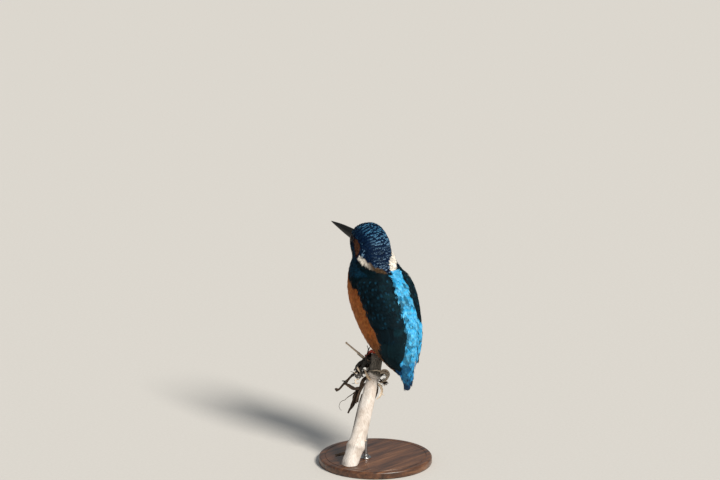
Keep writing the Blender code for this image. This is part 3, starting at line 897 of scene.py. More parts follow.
billHorn = hornMaterial("billHorn", "#050606", "#0F110E", 0.50, 0.35)
clawHorn = hornMaterial("clawHorn", "#16100F", "#3A2C28", 0.40, 0.3)

billForm = {  # mm, and shares of the length
    "length": 38.5, "height": 9.2, "width": 8.8, "rise": 6.5, "tip": 0.42, "into": 1.1, "ahead": 0.6,
    "rings": 110, "around": 40, "nostrilAt": 0.085, "nostrilLong": 0.035, "nostrilDeep": 0.45,
    "nostrilTurn": 0.62,
}


def makeBill(name, upper, node):
    topForward, topUp, lowForward, lowUp, _ = bodyForm["stations"][0]
    root = ((topForward + lowForward) / 2 + billForm["ahead"], (topUp + lowUp) / 2)
    rise, side = math.radians(billForm["rise"]), (1 if upper else -1)
    into = billForm["into"] / billForm["length"]
    along = 1 - (1 + into) * (1 - np.linspace(0, 1, billForm["rings"])) ** 1.15
    along = along[:, None]
    angle = np.linspace(0, math.pi, billForm["around"])[None]
    taper = np.clip(1 - along, 0, 1) ** 0.77 * (1 - 0.06 * smooth(-along / into))
    point = billForm["tip"] * (1 - 0.75 * smooth((along - 0.965) / 0.035))
    height = np.maximum(billForm["height"] / 2 * taper * (1.06 if upper else 0.94), point)
    width = np.maximum(billForm["width"] / 2 * taper, point)
    if upper:
        height = height * (1 + 0.12 * bell(along, 0.66, 0.24))  # the ridge's slight arch
    else:
        height = height * (1 + 0.05 * bell(along, 0.42, 0.16))  # the keel's slight angle
    flank = 1 - 0.05 * bell(np.abs(angle - math.pi / 2), 0.55, 0.25) * smooth((1 - along) / 0.3)
    ridge = 1 + 0.04 * bell(angle, math.pi / 2, 0.10)
    left = width * np.cos(angle) * flank
    high = side * (0.02 + height * np.sin(angle) ** 0.85 * flank * ridge)
    if upper:
        pit = billForm["nostrilDeep"] * bell(along, billForm["nostrilAt"], billForm["nostrilLong"])
        for way in (1, -1):
            turn = math.pi / 2 - way * (math.pi / 2 - billForm["nostrilTurn"])
            left = left - way * pit * bell(angle, turn - way * 0.9 * (along - 0.08), 0.13)
    reach = along * billForm["length"]
    forward = root[0] + reach * math.cos(rise) - high * math.sin(rise)
    up = root[1] + reach * math.sin(rise) + high * math.cos(rise)
    forward, left = turnHead(forward * mm, left * mm, np.zeros(forward.shape))
    rings = toPart(forward, left, up * mm)
    piece = loftPiece(name, rings if upper else rings[:, ::-1], billHorn, 40)
    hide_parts(node)


# the eye: a wet cornea over a nearly black brown iris
def eyeMaterial():
    material, tree, shader, place = startMaterial("wetCornea", {
        "Roughness": 0.30, "IOR": 1.38, "Specular IOR Level": 0.04, "Coat Weight": 0.6,
        "Coat Roughness": 0.01, "Coat IOR": 1.35})
    ring = addNode(tree, "ShaderNodeAttribute", {"attribute_name": "ring"})
    rays = addNode(tree, "ShaderNodeTexNoise", values={"Scale": 1 / (0.35 * mm), "Detail": 3.0},
                   links={"Vector": place})
    spread = addNode(tree, "ShaderNodeMapRange", values={"To Min": -0.06, "To Max": 0.06},
                     links={"Value": rays.outputs["Fac"]})
    blurred = addNode(tree, "ShaderNodeMath", {"operation": "ADD"},
                      links={0: ring.outputs["Fac"], 1: spread.outputs[0]})
    iris = addNode(tree, "ShaderNodeValToRGB", links={"Fac": blurred.outputs[0]},
                   stops=((0.28, "#010101"), (0.35, "#190B05"), (0.52, "#100704"), (0.62, "#030202")))
    finishShader(tree, shader, iris.outputs["Color"])
    return material


def eyeAxes(axis):
    first = unit(np.cross(axis, (0.0, 0.0, 1.0)))
    return first, np.cross(axis, first)


def makeEye(word):
    centre, axis = eyes[word]
    first, second = eyeAxes(axis)
    turn = np.linspace(0.02, math.pi - 0.02, 60)[:, None]
    around = roundAngles(64)[None]
    radius = (eyeForm["radius"] - 0.02 + eyeForm["cornea"] * smooth((np.cos(turn) - 0.74) / 0.2)) * mm
    rings = (centre + (radius * np.cos(turn))[..., None] * axis
             + (radius * np.sin(turn))[..., None] * (np.cos(around)[..., None] * first
                                                    + np.sin(around)[..., None] * second))
    mesh = meshFrom("eyeball", *loftRings(rings[::-1]))
    # each ring's distance from the axis, as a share of the ball's radius, with the back all dark
    wide = np.where(turn < math.pi / 2, np.sin(turn), 1.0) + 0 * around
    addNumbers(mesh, "ring", np.concatenate((wide[::-1].ravel(), (1.0, 0.0))))
    piece = finishPiece("eyeball_" + word, mesh, eyeBrown)
    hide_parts("eye_" + word)


# lid: bare, finely beaded skin, dark and dull beside the wet eye
def lidMaterial():
    material, tree, shader, place = startMaterial("lidSkin", {"Roughness": 0.55, "Specular IOR Level": 0.25})
    beads = addNode(tree, "ShaderNodeTexVoronoi", values={"Scale": 1 / (0.22 * mm)}, links={"Vector": place})
    colour = addNode(tree, "ShaderNodeValToRGB", links={"Fac": beads.outputs["Distance"]},
                     stops=((0.10, "#23262B"), (0.70, "#0B0C0F")))
    finishShader(tree, shader, colour.outputs["Color"], beads.outputs["Distance"], 0.4, 0.04)
    return material


def makeLid(word):
    # the rim of both lids: a low roll round the eye, a little closer above and below than at the corners
    centre, axis = eyes[word]
    first, second = eyeAxes(axis)
    angle, turn = roundAngles(160)[:, None], roundAngles(14)[None]
    way = np.cos(angle)[..., None] * first + np.sin(angle)[..., None] * second
    reach = eyeForm["opening"] + 0.12 - 0.16 * np.sin(angle) ** 2 + 0.14 * np.abs(np.cos(angle)) ** 9
    high = np.sqrt(eyeForm["radius"] ** 2 - reach ** 2) + 0.05
    wide, deep = eyeForm["rim"]
    bead = 1 + 0.08 * np.abs(np.sin(26 * angle)) + 0.05 * np.sin(5 * angle + 1)
    rings = (centre + way * ((reach + wide * bead * np.cos(turn)) * mm)[..., None]
             + axis * ((high + deep * bead * np.sin(turn)) * mm)[..., None])
    finishPiece("lid_" + word, meshFrom("lid", *wrapRings(rings)), lidSkin)


eyeBrown = eyeMaterial()
lidSkin = lidMaterial()


# how each tract's feathers look: sizes and spacings in mm, and the range of stations they grow in
coatLooks = {
    "face": {"length": (2.3, 3.6), "wide": 0.62, "lift": 0.16, "thick": 0.10, "stray": 0.10, "ragged": 0.10,
             "followMarks": True, "range": (-0.09, 3.35), "spacing": (0.80, 0.35), "billRing": 96,
             "eyeClear": 1.9, "eyeFan": 19},
    "crown": {"length": (3.2, 4.9), "wide": 0.60, "lift": 0.22, "thick": 0.14, "stray": 0.06, "ragged": 0.07,
              "followMarks": True, "range": (-0.08, 4.72), "along": (1.35, 2.1), "across": (1.7, 2.35),
              "eyeClear": 2.6},
    "patch": {"length": (2.8, 3.6), "wide": 0.50, "lift": 0.95, "thick": 0.12, "stray": 0.10, "ragged": 0.14,
              "followMarks": True, "range": (3.2, 4.95), "spacing": (0.72, 0.0)},
    "neck": {"length": (4.2, 5.6), "wide": 0.60, "lift": 0.35, "thick": 0.13, "stray": 0.10, "ragged": 0.12,
             "followMarks": True, "range": (3.30, 5.20), "spacing": (1.30, 0.0)},
    "back": {"length": (6.5, 9.0), "wide": 0.42, "lift": 0.85, "thick": 0.18, "stray": 0.06, "ragged": 0.13,
             "range": (4.95, 10.8), "spacing": (1.55, 0.0), "overRoot": 1.6, "overTip": 0.6, "streakAndShade": 0.36},
    "belly": {"length": (5.2, 8.5), "wide": 0.58, "lift": 0.45, "thick": 0.16, "stray": 0.12, "ragged": 0.14,
              "range": (4.95, 10.0), "spacing": (1.75, 0.0)},
}


def dress(t, angle, look, lengthShare):
    count = len(t)
    low, high = look["length"]
    length = mix(low, high, lengthShare) * dice.uniform(0.85, 1.15, count) * mm
    # a vane shows near its end, so it takes the markings of that place
    slope = np.linalg.norm(bodyFrame(t, angle)[1], axis=-1)
    base, tip, bar = markings(t + 0.72 * length / slope, angle, dice.normal(0, 1, count))
    return {
        "t": t, "angle": angle, "base": base, "tip": tip, "length": length,
        "barStrength": dice.uniform(0.35, 1.0, count) * (1 if look.get("followMarks") else bar),
        "followMarks": look.get("followMarks", False),
        "width": length * look["wide"] * dice.uniform(0.9, 1.15, count),
        "heading": dice.normal(0, look["stray"], count), "bend": dice.normal(0, 0.10, count),
        "rootHeight": -skinDepth(t) - 0.15 * mm,
        "tipHeight": look["lift"] * mm * dice.uniform(0.6, 1.3, count),
        "thick": look["thick"] * mm * dice.uniform(0.9, 1.2, count), "ragged": look["ragged"],
        "roll": dice.normal(0, 0.05, count) * mm, "cup": 0.08 * mm, "shade": dice.uniform(0.85, 1.12, count),
    }


def pick(spec, chosen):
    count = len(spec["t"])
    return {label: value[chosen] if np.ndim(value) and len(value) == count else value
            for label, value in spec.items()}


def layByDye(name, kind, spec, materials):
    # blue and warm feathers have different barbs, so each goes into a piece of its own
    blue = spec["base"][:, 2] > spec["base"][:, 0] * 0.95
    for colour, chosen, material in zip(("Blue", "Warm"), (blue, ~blue), materials):
        if chosen.any():
            layVanes(name + colour, kind, pick(spec, chosen), plumage[material])


def apartFromMiddle(t, angle):
    return np.abs(np.degrees(wrapAngle(angle)) - hindMiddle(t))


def onLeft(t, angle):
    return np.degrees(wrapAngle(angle)) > hindMiddle(t)


def shortenRoundEyes(spec):
    place = coatPoint(spec["t"], spec["angle"], 0 * spec["t"])
    close = np.minimum.reduce([eyeReach(place, *eye)[1] + 1.0 * (eyeReach(place, *eye)[0] < 0)
                               for eye in eyes.values()])
    share = smooth((4.8 * mm - close) / (2.6 * mm))
    spec["length"] = spec["length"] * (1 - 0.45 * share)
    spec["width"] = spec["width"] * (1 - 0.35 * share)
    spec["parted"] = True


def crownRoots(look):
    # brick rows across the crown, from the bill to the nape
    fineT = np.linspace(*look["range"], 800)
    line = bodyPoint(fineT, np.full(800, 0.6))
    travelled = np.concatenate(((0,), np.cumsum(np.linalg.norm(np.diff(line, axis=0), axis=-1))))
    rows = [0.0]
    while rows[-1] < travelled[-1]:
        rows.append(rows[-1] + mix(*look["along"], smooth(rows[-1] / (14 * mm))) * mm)
    roots = []
    for i, t in enumerate(np.interp(rows, travelled, fineT)):
        _, _, slopeA, _ = bodyFrame(np.array([t]), np.array([0.5]))
        step = mix(*look["across"], smooth(t / 2.2)) * mm / np.linalg.norm(slopeA[0])
        count = int(math.radians(82) / step)
        middle = math.radians(hindMiddle(t))
        roots += [(t, (k + 0.5 * (i % 2)) * step + middle) for k in range(-count, count + 1)]
    t, angle = np.array(roots).T
    return t + dice.normal(0, 0.018, len(t)), angle + dice.normal(0, 0.010, len(t))


def clearOfEyes(t, angle, look):
    keep = ~nearEyes(coatPoint(t, angle, 0 * t), look["eyeClear"] * mm)
    return t[keep], angle[keep]


def crownCoat():
    # bars across the crown: each vane has a bright bar near its end
    look = coatLooks["crown"]
    t, angle = crownRoots(look)
    keep = crownArea(t, apartFromMiddle(t, angle), onLeft(t, angle))
    t, angle = clearOfEyes(t[keep], angle[keep], look)
    spec = dress(t, angle, look, smooth(t / 2.2))
    shortenRoundEyes(spec)
    # the spots fade out towards the dark lower edge of the crown; on the left they fade from higher up, as
    # painted shade on that side of the head
    start = np.where(onLeft(t, angle), 29 - 13 * smooth((t - 1.8) / 1.4), 34)
    fade = 1 - 0.94 * smooth((apartFromMiddle(t, angle) - start) / 20) * smooth((t - 0.6) / 1.0)
    spec.update({"barFrom": 0.66, "barTo": 0.90, "spotWide": 0.66,
                 "barStrength": dice.uniform(0.6, 1.0, len(t)) * fade})
    layVanes("crownFeathers", "body", spec, plumage["crownPlumage"])


def headCoat():
    look = coatLooks["face"]
    t, angle = scatterRoots(look, lambda t, a: ~crownArea(t, apartFromMiddle(t, a) + 1.5, onLeft(t, a)))
    # two even rows close the coat round the bill's root
    t = np.concatenate((t, np.where(np.arange(look["billRing"]) % 2, -0.10, 0.0)))
    angle = np.concatenate((angle, roundAngles(look["billRing"]) - math.pi))
    t, angle = clearOfEyes(t, angle, look)
    for side in sides.values():
        # a fan of roots under the rear rim of each eye's lids
        place = eyeRoot(side)
        _, slopeT, slopeA, normal = bodyFrame(*place)
        fan = np.radians(np.linspace(-100, 100, look["eyeFan"]))[:, None]
        way = unit(slopeT) * np.cos(fan) + np.cross(unit(slopeT), normal) * np.sin(fan)
        moveT, moveA = surfaceSteps(slopeT, slopeA, way * 1.5 * mm)
        t, angle = np.concatenate((t, place[0] + moveT)), np.concatenate((angle, place[1] + moveA))
    spec = dress(t, angle, look, smooth(t / 2.6))
    shortenRoundEyes(spec)
    layByDye("faceFeathers", "fine", spec, ("crownPlumage", "orangePlumage"))


def outsideWings(t, angle):
    along, across = wingShare(t, angle)
    lowEdge = 0.88 + 0.14 * smooth((along - 0.55) / 0.2)
    return ~((along > 0.03) & (along < 0.97) & (across > 0.10) & (across < lowEdge))


def neckCoat():
    def onNeck(t, a):
        return outsideWings(t, a) & ~crownArea(t + 0.12, apartFromMiddle(t, a) + 3, onLeft(t, a))

    t, angle = scatterRoots(coatLooks["neck"], onNeck)
    spec = dress(t, angle, coatLooks["neck"], smooth((t - 3.3) / 1.4))
    layByDye("neckFeathers", "body", spec, ("crownPlumage", "orangePlumage"))


def patchCoat():
    # the silky white plumes of the neck patches stand a little over the coat round them
    def onPatch(t, a):
        return inNeckPatch(t + 0.16, apartFromMiddle(t, a), onLeft(t, a), 0.85)

    t, angle = scatterRoots(coatLooks["patch"], onPatch)
    spec = dress(t, angle, coatLooks["patch"], smooth((t - 3.3) / 1.4))
    layVanes("patchFeathers", "body", spec, plumage["whitePlumage"])


def trunkCoat():
    def isBack(t, a):
        degrees = np.degrees(wrapAngle(a))
        return np.abs(degrees) < bySide(stripeReach, t, degrees > 0) + 4

    def overWing(t, a):
        # on the right the back's plumes lie over the wing's upper edge
        across = wingShare(t, a)[1]
        return (a < 0) & (t > 6.3) & (t < 8.8) & (across < 0.44 * smooth((t - 6.2) / 1.0))

    look = coatLooks["back"]
    t, angle = scatterRoots(look, lambda t, a: (outsideWings(t, a) | overWing(t, a)) & isBack(t, a))
    spec = dress(t, angle, look, 1 - smooth((t - 8) / 2))
    over = overWing(t, angle) * smooth((wingShare(t, angle)[1] + 0.28) / 0.20)
    spec["rootHeight"] = spec["rootHeight"] + look["overRoot"] * mm * over * smooth((t - 6.5) / 0.9)
    spec["tipHeight"] = spec["tipHeight"] + look["overTip"] * mm * over * smooth((t - 6.3) / 0.4)
    # darker plumes lie in streaks, more of them low down; the many more towards the left wing are painted
    # shade on that side
    leftSideShade = smooth((np.degrees(angle) - 2) / 9) * smooth((t - 5.0) / 1.9)
    streaksAndShade = 0.12 + 0.35 * smooth((t - 8.2) / 2) + 0.66 * leftSideShade
    spec["shade"] = spec["shade"] * np.where(dice.uniform(0, 1, len(t)) < streaksAndShade, look["streakAndShade"], 1.0)
    layVanes("backFeathers", "body", spec, plumage["azurePlumage"])
    t, angle = scatterRoots(coatLooks["belly"], lambda t, a: outsideWings(t, a) & ~isBack(t, a))
    spec = dress(t, angle, coatLooks["belly"], smooth((t - 4.7) / 1.3) * (1 - smooth((t - 8.5) / 2)))
    layByDye("breastFeathers", "body", spec, ("wingPlumage", "orangePlumage"))


wingLayout = {  # places are shares along and across the folded wing, sizes in mm
    "length": 65.0, "degree": 0.36,  # the wing's length, and how wide a degree round it is
    "lesser": {"rows": (0.015, 0.40, 0.036), "spacing": 2.3, "size": (5.4, 3.4)},
    "rows": {  # along at the roots, across from and to, how many, length and width, height of the tips
        "medianCoverts": (0.37, 0.05, 0.96, 12, 9.0, 4.4, 0.75),
        "greaterCoverts": (0.44, 0.12, 0.92, 12, 14.0, 4.8, 0.60),
        "primaryCoverts": (0.46, 0.66, 0.97, 7, 12.0, 3.6, 0.50),
    },
    "quills": {  # root and tip along and across, of the first and the last; how many, width, height
        "primaries": ((0.52, 0.60, 1.03, 0.40), (0.55, 0.95, 0.97, 1.05), 10, 5.0, 0.25),
        "secondaries": ((0.47, 0.22, 0.87, 0.20), (0.52, 0.66, 0.78, 0.84), 10, 5.4, 0.55),
        "tertials": ((0.42, 0.04, 0.88, 0.22), (0.46, 0.24, 0.80, 0.30), 4, 6.6, 0.95),
    },
    "spike": 2.6,  # how far the right wing's longest quills stand off the rump
}


def pathSpec(path, shade, look):
    # vanes whose middle lines are given as places on the body
    base, tip = (np.tile(tint[look[end]], (len(shade), 1)) for end in ("base", "tip"))
    length = np.linalg.norm(np.diff(bodyPoint(*path), axis=1), axis=-1).sum(1)
    return {**look, "t": path[0][:, 0], "angle": path[1][:, 0], "path": path, "length": length,
            "base": base, "tip": tip, "shade": shade}


def wingSpec(roots, tips, side, look):
    # vanes that run straight from their roots to their tips over the folded wing
    count = len(roots)
    share = np.linspace(0, 1, 9)[None]
    along = mix(roots[:, :1], tips[:, :1], share)
    across = mix(roots[:, 1:], tips[:, 1:], share ** 1.2)
    return pathSpec(wingPlace(np.clip(along, 0, 1.2), across, side), dice.uniform(0.85, 1.15, count), look)


def wingCoat(word, side):
    def lay(label, kind, roots, tips, look):
        spec = wingSpec(roots, tips, side, look)
        layVanes(f"{label}_{word}", kind, spec, plumage["wingPlumage"])

    lesser, wingLength = wingLayout["lesser"], wingLayout["length"]
    low, high, step = lesser["rows"]
    roots = []
    for i, along in enumerate(np.arange(low, high, step)):
        top, bottom = (easedTable(wingForm[edge], np.array(along)) for edge in (word, "lower"))
        across = max(6, round(float(bottom - top) * wingLayout["degree"] / lesser["spacing"]))
        for k in range(across + 1):
            roots.append((along + dice.normal(0, 0.005), 0.02 + (k + 0.5 * (i % 2)) / (across + 0.5) * 0.96))
    roots = np.array(roots)
    count = len(roots)
    lengths, width = lesser["size"][0] / wingLength * dice.uniform(0.9, 1.15, count), lesser["size"][1] * mm
    lay("lesserCoverts", "body", roots, roots + np.stack((lengths, dice.normal(0, 0.02, count)), 1), {
        "base": "wing", "tip": "wingSpot", "width": width * dice.uniform(0.9, 1.1, count),
        "rootHeight": -0.7 * mm, "tipHeight": (0.75 + dice.uniform(0, 0.35, count)) * mm, "thick": 0.16 * mm,
        "barStrength": dice.uniform(0, 1, count) ** 2.2 * 0.6, "barFrom": 0.74, "spotWide": 0.42,
        "ragged": 0.06})
    for label, (along, start, end, count, length, width, lift) in wingLayout["rows"].items():
        share = np.linspace(0, 1, count)
        across = mix(start, end, share)
        roots = np.stack((along + dice.normal(0, 0.006, count), across), 1)
        lengths = length / wingLength * dice.uniform(0.93, 1.07, count)
        lay(label, "flight", roots, roots + np.stack((lengths, (0.55 - across) * 0.10), 1), {
            "base": "wing", "tip": "wingSpot", "width": width * mm * dice.uniform(0.95, 1.05, count),
            "rootHeight": -0.5 * mm, "tipHeight": (lift + 0.25 * (1 - share)) * mm, "thick": 0.18 * mm,
            "barStrength": dice.uniform(0, 1, count) ** 2 * 0.45, "barFrom": 0.84, "spotWide": 0.35,
            "ragged": 0.03, "tipRound": 0.16, "fused": 0.8})
    for label, (first, last, count, width, lift) in wingLayout["quills"].items():
        share = np.linspace(0, 1, count)
        lines = mix(np.array(first), np.array(last), share[:, None])
        spike = side < 0 and label == "primaries"
        lines[:, 2] -= 0.08 * spike
        lay(label, "flight", lines[:, :2], lines[:, 2:], {
            "base": "flight", "tip": "wingEdge", "width": width * mm * dice.uniform(0.97, 1.03, count),
            "rootHeight": -0.5 * mm, "rise": 2.6 if spike else 0.45, "thick": 0.20 * mm,
            "tipHeight": (lift + 0.30 * (1 - share) + wingLayout["spike"] * spike * (1 - share) ** 2) * mm,
            "barStrength": 0.5, "barFrom": 0.2, "ragged": 0.012, "tipRound": 0.10, "fused": 0.9,
            "rootWidth": 0.5, "taper": 0.25})
    rows = []
    for k, along in enumerate(np.linspace(-0.02, 0.44, 13)):
        rows += [(along, 0.10 + 0.03 * (k % 2)), (along + 0.015, 0.19), (along + 0.005, 0.29)]
    roots = np.array(rows)
    count = len(roots)
    tips = roots + np.stack((dice.uniform(8.5, 11.5, count) / wingLength, dice.normal(-0.03, 0.02, count)), 1)
    if side > 0:
        # one long scapular strays over the back
        roots = np.concatenate((roots, ((0.22, 0.10), (0.20, 0.06))))
        tips = np.concatenate((tips, ((0.390, -0.05), (0.375, -0.01))))
        count += 2
    lay("scapulars", "body", roots, tips, {
        "base": "scapular", "tip": "wingEdge", "width": dice.uniform(4.8, 5.8, count) * mm,
        "rootHeight": -0.6 * mm, "tipHeight": dice.uniform(0.6, 1.0, count) * mm, "thick": 0.18 * mm,
        "barStrength": 0.6, "barFrom": 0.5, "ragged": 0.07, "tipRound": 0.22})


tailLayout = {"pairs": 6, "from": 9.9, "to": 12.02, "round": 0.22, "width": 4.4, "stack": 0.16}


def tailCoat():
    pairs = tailLayout["pairs"]
    rank = np.repeat(np.arange(pairs), 2)
    share = np.linspace(0, 1, 9)[None]
    wide = ((0.10 + 0.80 * rank / (pairs - 1)) * np.tile((1.0, -1.0), pairs))[:, None]
    pathT = mix(tailLayout["from"], tailLayout["to"] - tailLayout["round"] * wide ** 2, share)
    pathA = np.arcsin(wide * mix(0.55, 0.92, share))
    spec = pathSpec((pathT, pathA), dice.uniform(0.9, 1.1, len(rank)), {
        "base": "tail", "tip": "tailEdge", "width": tailLayout["width"] * mm, "rootHeight": -0.9 * mm,
        "tipHeight": (0.35 - tailLayout["stack"] * rank) * mm, "thick": 0.20 * mm, "barStrength": 0.9,
        "barFrom": 0.55, "ragged": 0.012, "tipRound": 0.12, "fused": 0.9, "rootWidth": 0.6, "rise": 0.6})
    layVanes("tailQuills", "flight", spec, plumage["tailPlumage"])


# the perch: a dead branch, its sheaths and twigs; mm, and shares along the branch
branchForm = {
    "top": (-5.0, -1.8, 0.0), "foot": (-13.7, 37.3, -75.2), "radius": (4.3, 6.2), "bow": 1.6,
    "knots": ((0.20, 1.2, 0.022), (0.84, 1.0, 0.030)), "rings": 420, "around": 110,
    "sheathEnds": 0.195, "scars": ((0.150, 0.35), (0.165, 0.25), (0.06, 0.3)), "cracks": 16, "buds": 10,
}
# the ways to the right and nearer, as seen from the bird's left rear
rightward = np.array((-0.73, -0.68, 0.0))
nearward = np.array((-0.68, 0.73, 0.0))


def branchAxis(u):
    u = np.asarray(u, float)[..., None]
    line = mix(np.array(branchForm["top"]), np.array(branchForm["foot"]), u)
    return line + rightward * branchForm["bow"] * np.sin(math.pi * u)


def grain(angle, u, seed):
    # a smooth, irregular wave round and along the branch, from a few sines
    waves = np.random.default_rng(seed)
    total = 0 * angle * u
    for _ in range(9):
        turns, along = waves.integers(2, 17), waves.uniform(-30, 30)
        total = total + np.sin(turns * angle + along * u + waves.uniform(0, 6.3)) / (1 + 0.12 * turns)
    return total / 3


def branchRadius(angle, v):
    low, high = branchForm["radius"]
    radius = mix(low, high, v) + sum(swell * bell(v, at, half) for at, swell, half in branchForm["knots"])
    radius = radius * (0.86 + 0.14 * smooth(v / 0.02))
    radius = radius * (1 + 0.03 * np.sin(3 * angle + 9 * v) + 0.02 * np.sin(5 * angle - 14 * v))
    # rough old sheath above the joint, a lip, then the smooth stem with a rounded rim
    rough = 1 - smooth((v - branchForm["sheathEnds"] - 0.012 * np.sin(2 * angle + 1)) / 0.012)
    radius = radius + rough * 0.22 * grain(angle, v, 3) - 0.30 * (1 - rough) * smooth((0.30 - v) / 0.05)
    radius = radius + 0.35 * bell(v, 0.186, 0.005) * (0.7 + 0.3 * grain(angle, v, 5))
    radius = radius + 0.30 * bell(v, 0.222, 0.007)
    for place, depth in branchForm["scars"]:
        radius = radius - depth * bell(v + 0.006 * np.sin(angle + place * 90), place, 0.0035)
    radius = radius + 0.05 * grain(angle, v * 0.4, 8) * (1 - rough)
    marks = np.random.default_rng(11)
    for _ in range(branchForm["cracks"]):
        at, turn, long = marks.uniform(0.28, 0.98), marks.uniform(0, 2 * math.pi), marks.uniform(0.03, 0.13)
        off = np.abs(wrapAngle(angle - turn - 0.5 * (v - at)))
        radius = radius - 0.32 * np.exp(-(off / 0.035) ** 2) * bell(v, at, long)
    for _ in range(branchForm["buds"]):
        at, turn = marks.uniform(0.3, 0.95), marks.uniform(0, 2 * math.pi)
        off = np.hypot(wrapAngle(angle - turn) * 5.5, (v - at) * 84)
        radius = radius + 0.35 * np.exp(-(off / 1.1) ** 2) - 0.25 * np.exp(-(off / 0.45) ** 2)
    return radius, rough


def makeBranch():
    u = np.linspace(0, 1, branchForm["rings"])
    centre = branchAxis(u)
    ahead = unit(branchAxis(u + 0.01) - branchAxis(u - 0.01))
    upright = (smooth(u / 0.08) * smooth((1 - u) / 0.03))[:, None]
    level = unit(mix(np.array((0.0, 0.0, -1.0)), ahead, upright))
    across = unit(np.array((1.0, 0, 0)) - level * level[:, :1])
    other = np.cross(level, across)
    angle = roundAngles(branchForm["around"])[None]
    radius, rough = branchRadius(angle, u[:, None])
    rings = (centre[:, None] + across[:, None] * (radius * np.cos(angle))[..., None]
             + other[:, None] * (radius * np.sin(angle))[..., None])
    mesh = meshFrom("branch", *loftRings(birdToPart(rings)))
    # painted shadow: the rough sheathed top, and a band just below its rim, are painted grey as the bird's
    # shadow
    paintedShadow = np.clip(rough + 0.25 * bell(u[:, None], 0.24, 0.02) + 0 * angle, 0, 1).ravel()
    addNumbers(mesh, "paintedShadow", np.concatenate((paintedShadow, (1.0, 0.0))))
    piece = finishPiece("deadBranch", mesh, barkLooks["bleachedWood"], 60)
    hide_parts("perch_branch")


# dead wood: fibres along the stem, bleached by sun, with a grey painted shadow where a piece marks one
def woodMaterial(name, look):
    material, tree, shader, place = startMaterial(name, {"Roughness": 0.82, "Specular IOR Level": 0.25})
    squeeze = addNode(tree, "ShaderNodeMapping", values={"Scale": (1.0, 1.0, 0.10)}, links={"Vector": place})
    fibres = addNode(tree, "ShaderNodeTexNoise", links={"Vector": squeeze.outputs["Vector"]}, values={
        "Scale": 1 / (look["fibre"] * mm), "Detail": 6.0, "Roughness": 0.6})
    stains = addNode(tree, "ShaderNodeTexNoise", values={"Scale": 1 / (9 * mm), "Detail": 4.0},
                     links={"Vector": place})
    wood = addNode(tree, "ShaderNodeValToRGB", links={"Fac": fibres.outputs["Fac"]}, stops=look["ramp"])
    stain = addNode(tree, "ShaderNodeValToRGB", links={"Fac": stains.outputs["Fac"]},
                    stops=((0.35, look["stain"]), (0.60, "#FFFFFF")))
    colour = addNode(tree, "ShaderNodeMix", {"data_type": "RGBA", "blend_type": "MULTIPLY"}, {0: 0.8},
                     {6: wood.outputs["Color"], 7: stain.outputs["Color"]})
    if look.get("paintedShadow"):
        shadowShare = addNode(tree, "ShaderNodeAttribute", {"attribute_name": "paintedShadow"})
        grey = addNode(tree, "ShaderNodeValToRGB", links={"Fac": fibres.outputs["Fac"]},
                       stops=((0.30, "#3A352F"), (0.70, "#9A9286")))
        colour = addNode(tree, "ShaderNodeMix", {"data_type": "RGBA"},
                         links={0: shadowShare.outputs["Fac"], 6: colour.outputs[2], 7: grey.outputs["Color"]})
    finishShader(tree, shader, colour.outputs[2], fibres.outputs["Fac"], 0.6, 0.25)
    return material


woodLooks = {
    "bleachedWood": {"fibre": 0.8, "ramp": ((0.25, "#BDB6AE"), (0.70, "#E8E3DF")), "stain": "#DCD3CB",
                     "paintedShadow": True},
    "paleTwig": {"fibre": 0.6, "ramp": ((0.25, "#B5A48E"), (0.70, "#EADCC8")), "stain": "#B9A184"},
    "greySheath": {"fibre": 0.6, "ramp": ((0.35, "#161515"), (0.72, "#7D7973")), "stain": "#3A3634"},
    "darkSheath": {"fibre": 0.7, "ramp": ((0.25, "#120E0B"), (0.70, "#4C3C2F")), "stain": "#7A6858"},
}
barkLooks = {name: woodMaterial(name, look) for name, look in woodLooks.items()}


def headingVector(heading, rise):
    turn, lift = np.radians(heading), np.radians(rise)
    return np.stack((np.cos(turn) * np.cos(lift), np.sin(turn) * np.cos(lift), np.sin(lift) + 0 * turn), -1)


# each twig: place along the branch, start beside its middle, heading, rise, curl, length, root and tip radius
twigs = {
    "perch_twig_pale": (0.12, 0.0, 30, 35, 4, 28.0, 0.9, 0.6),
    "perch_twig_dark": (0.10, 0.0, 54, -25, -14, 35.7, 1.3, 0.8),
    "perch_stub": (0.90, 0.0, 48, 0, -14, 13.5, 1.6, 0.8),
    "perch_loop": (0.20, 4.4, 223, 70, -255, 14.0, 0.9, 0.8),
    "perch_curl": (0.28, 4.8, 218, -34, -105, 12.0, 1.0, 0.6),
}


twigWander = {"perch_twig_dark": ((0, 0), (0.3, 3.2), (0.55, 1.8), (0.75, 0.0), (0.9, -1.3), (1, 0.2))}
twigForm = {"steps": 120, "around": 28}


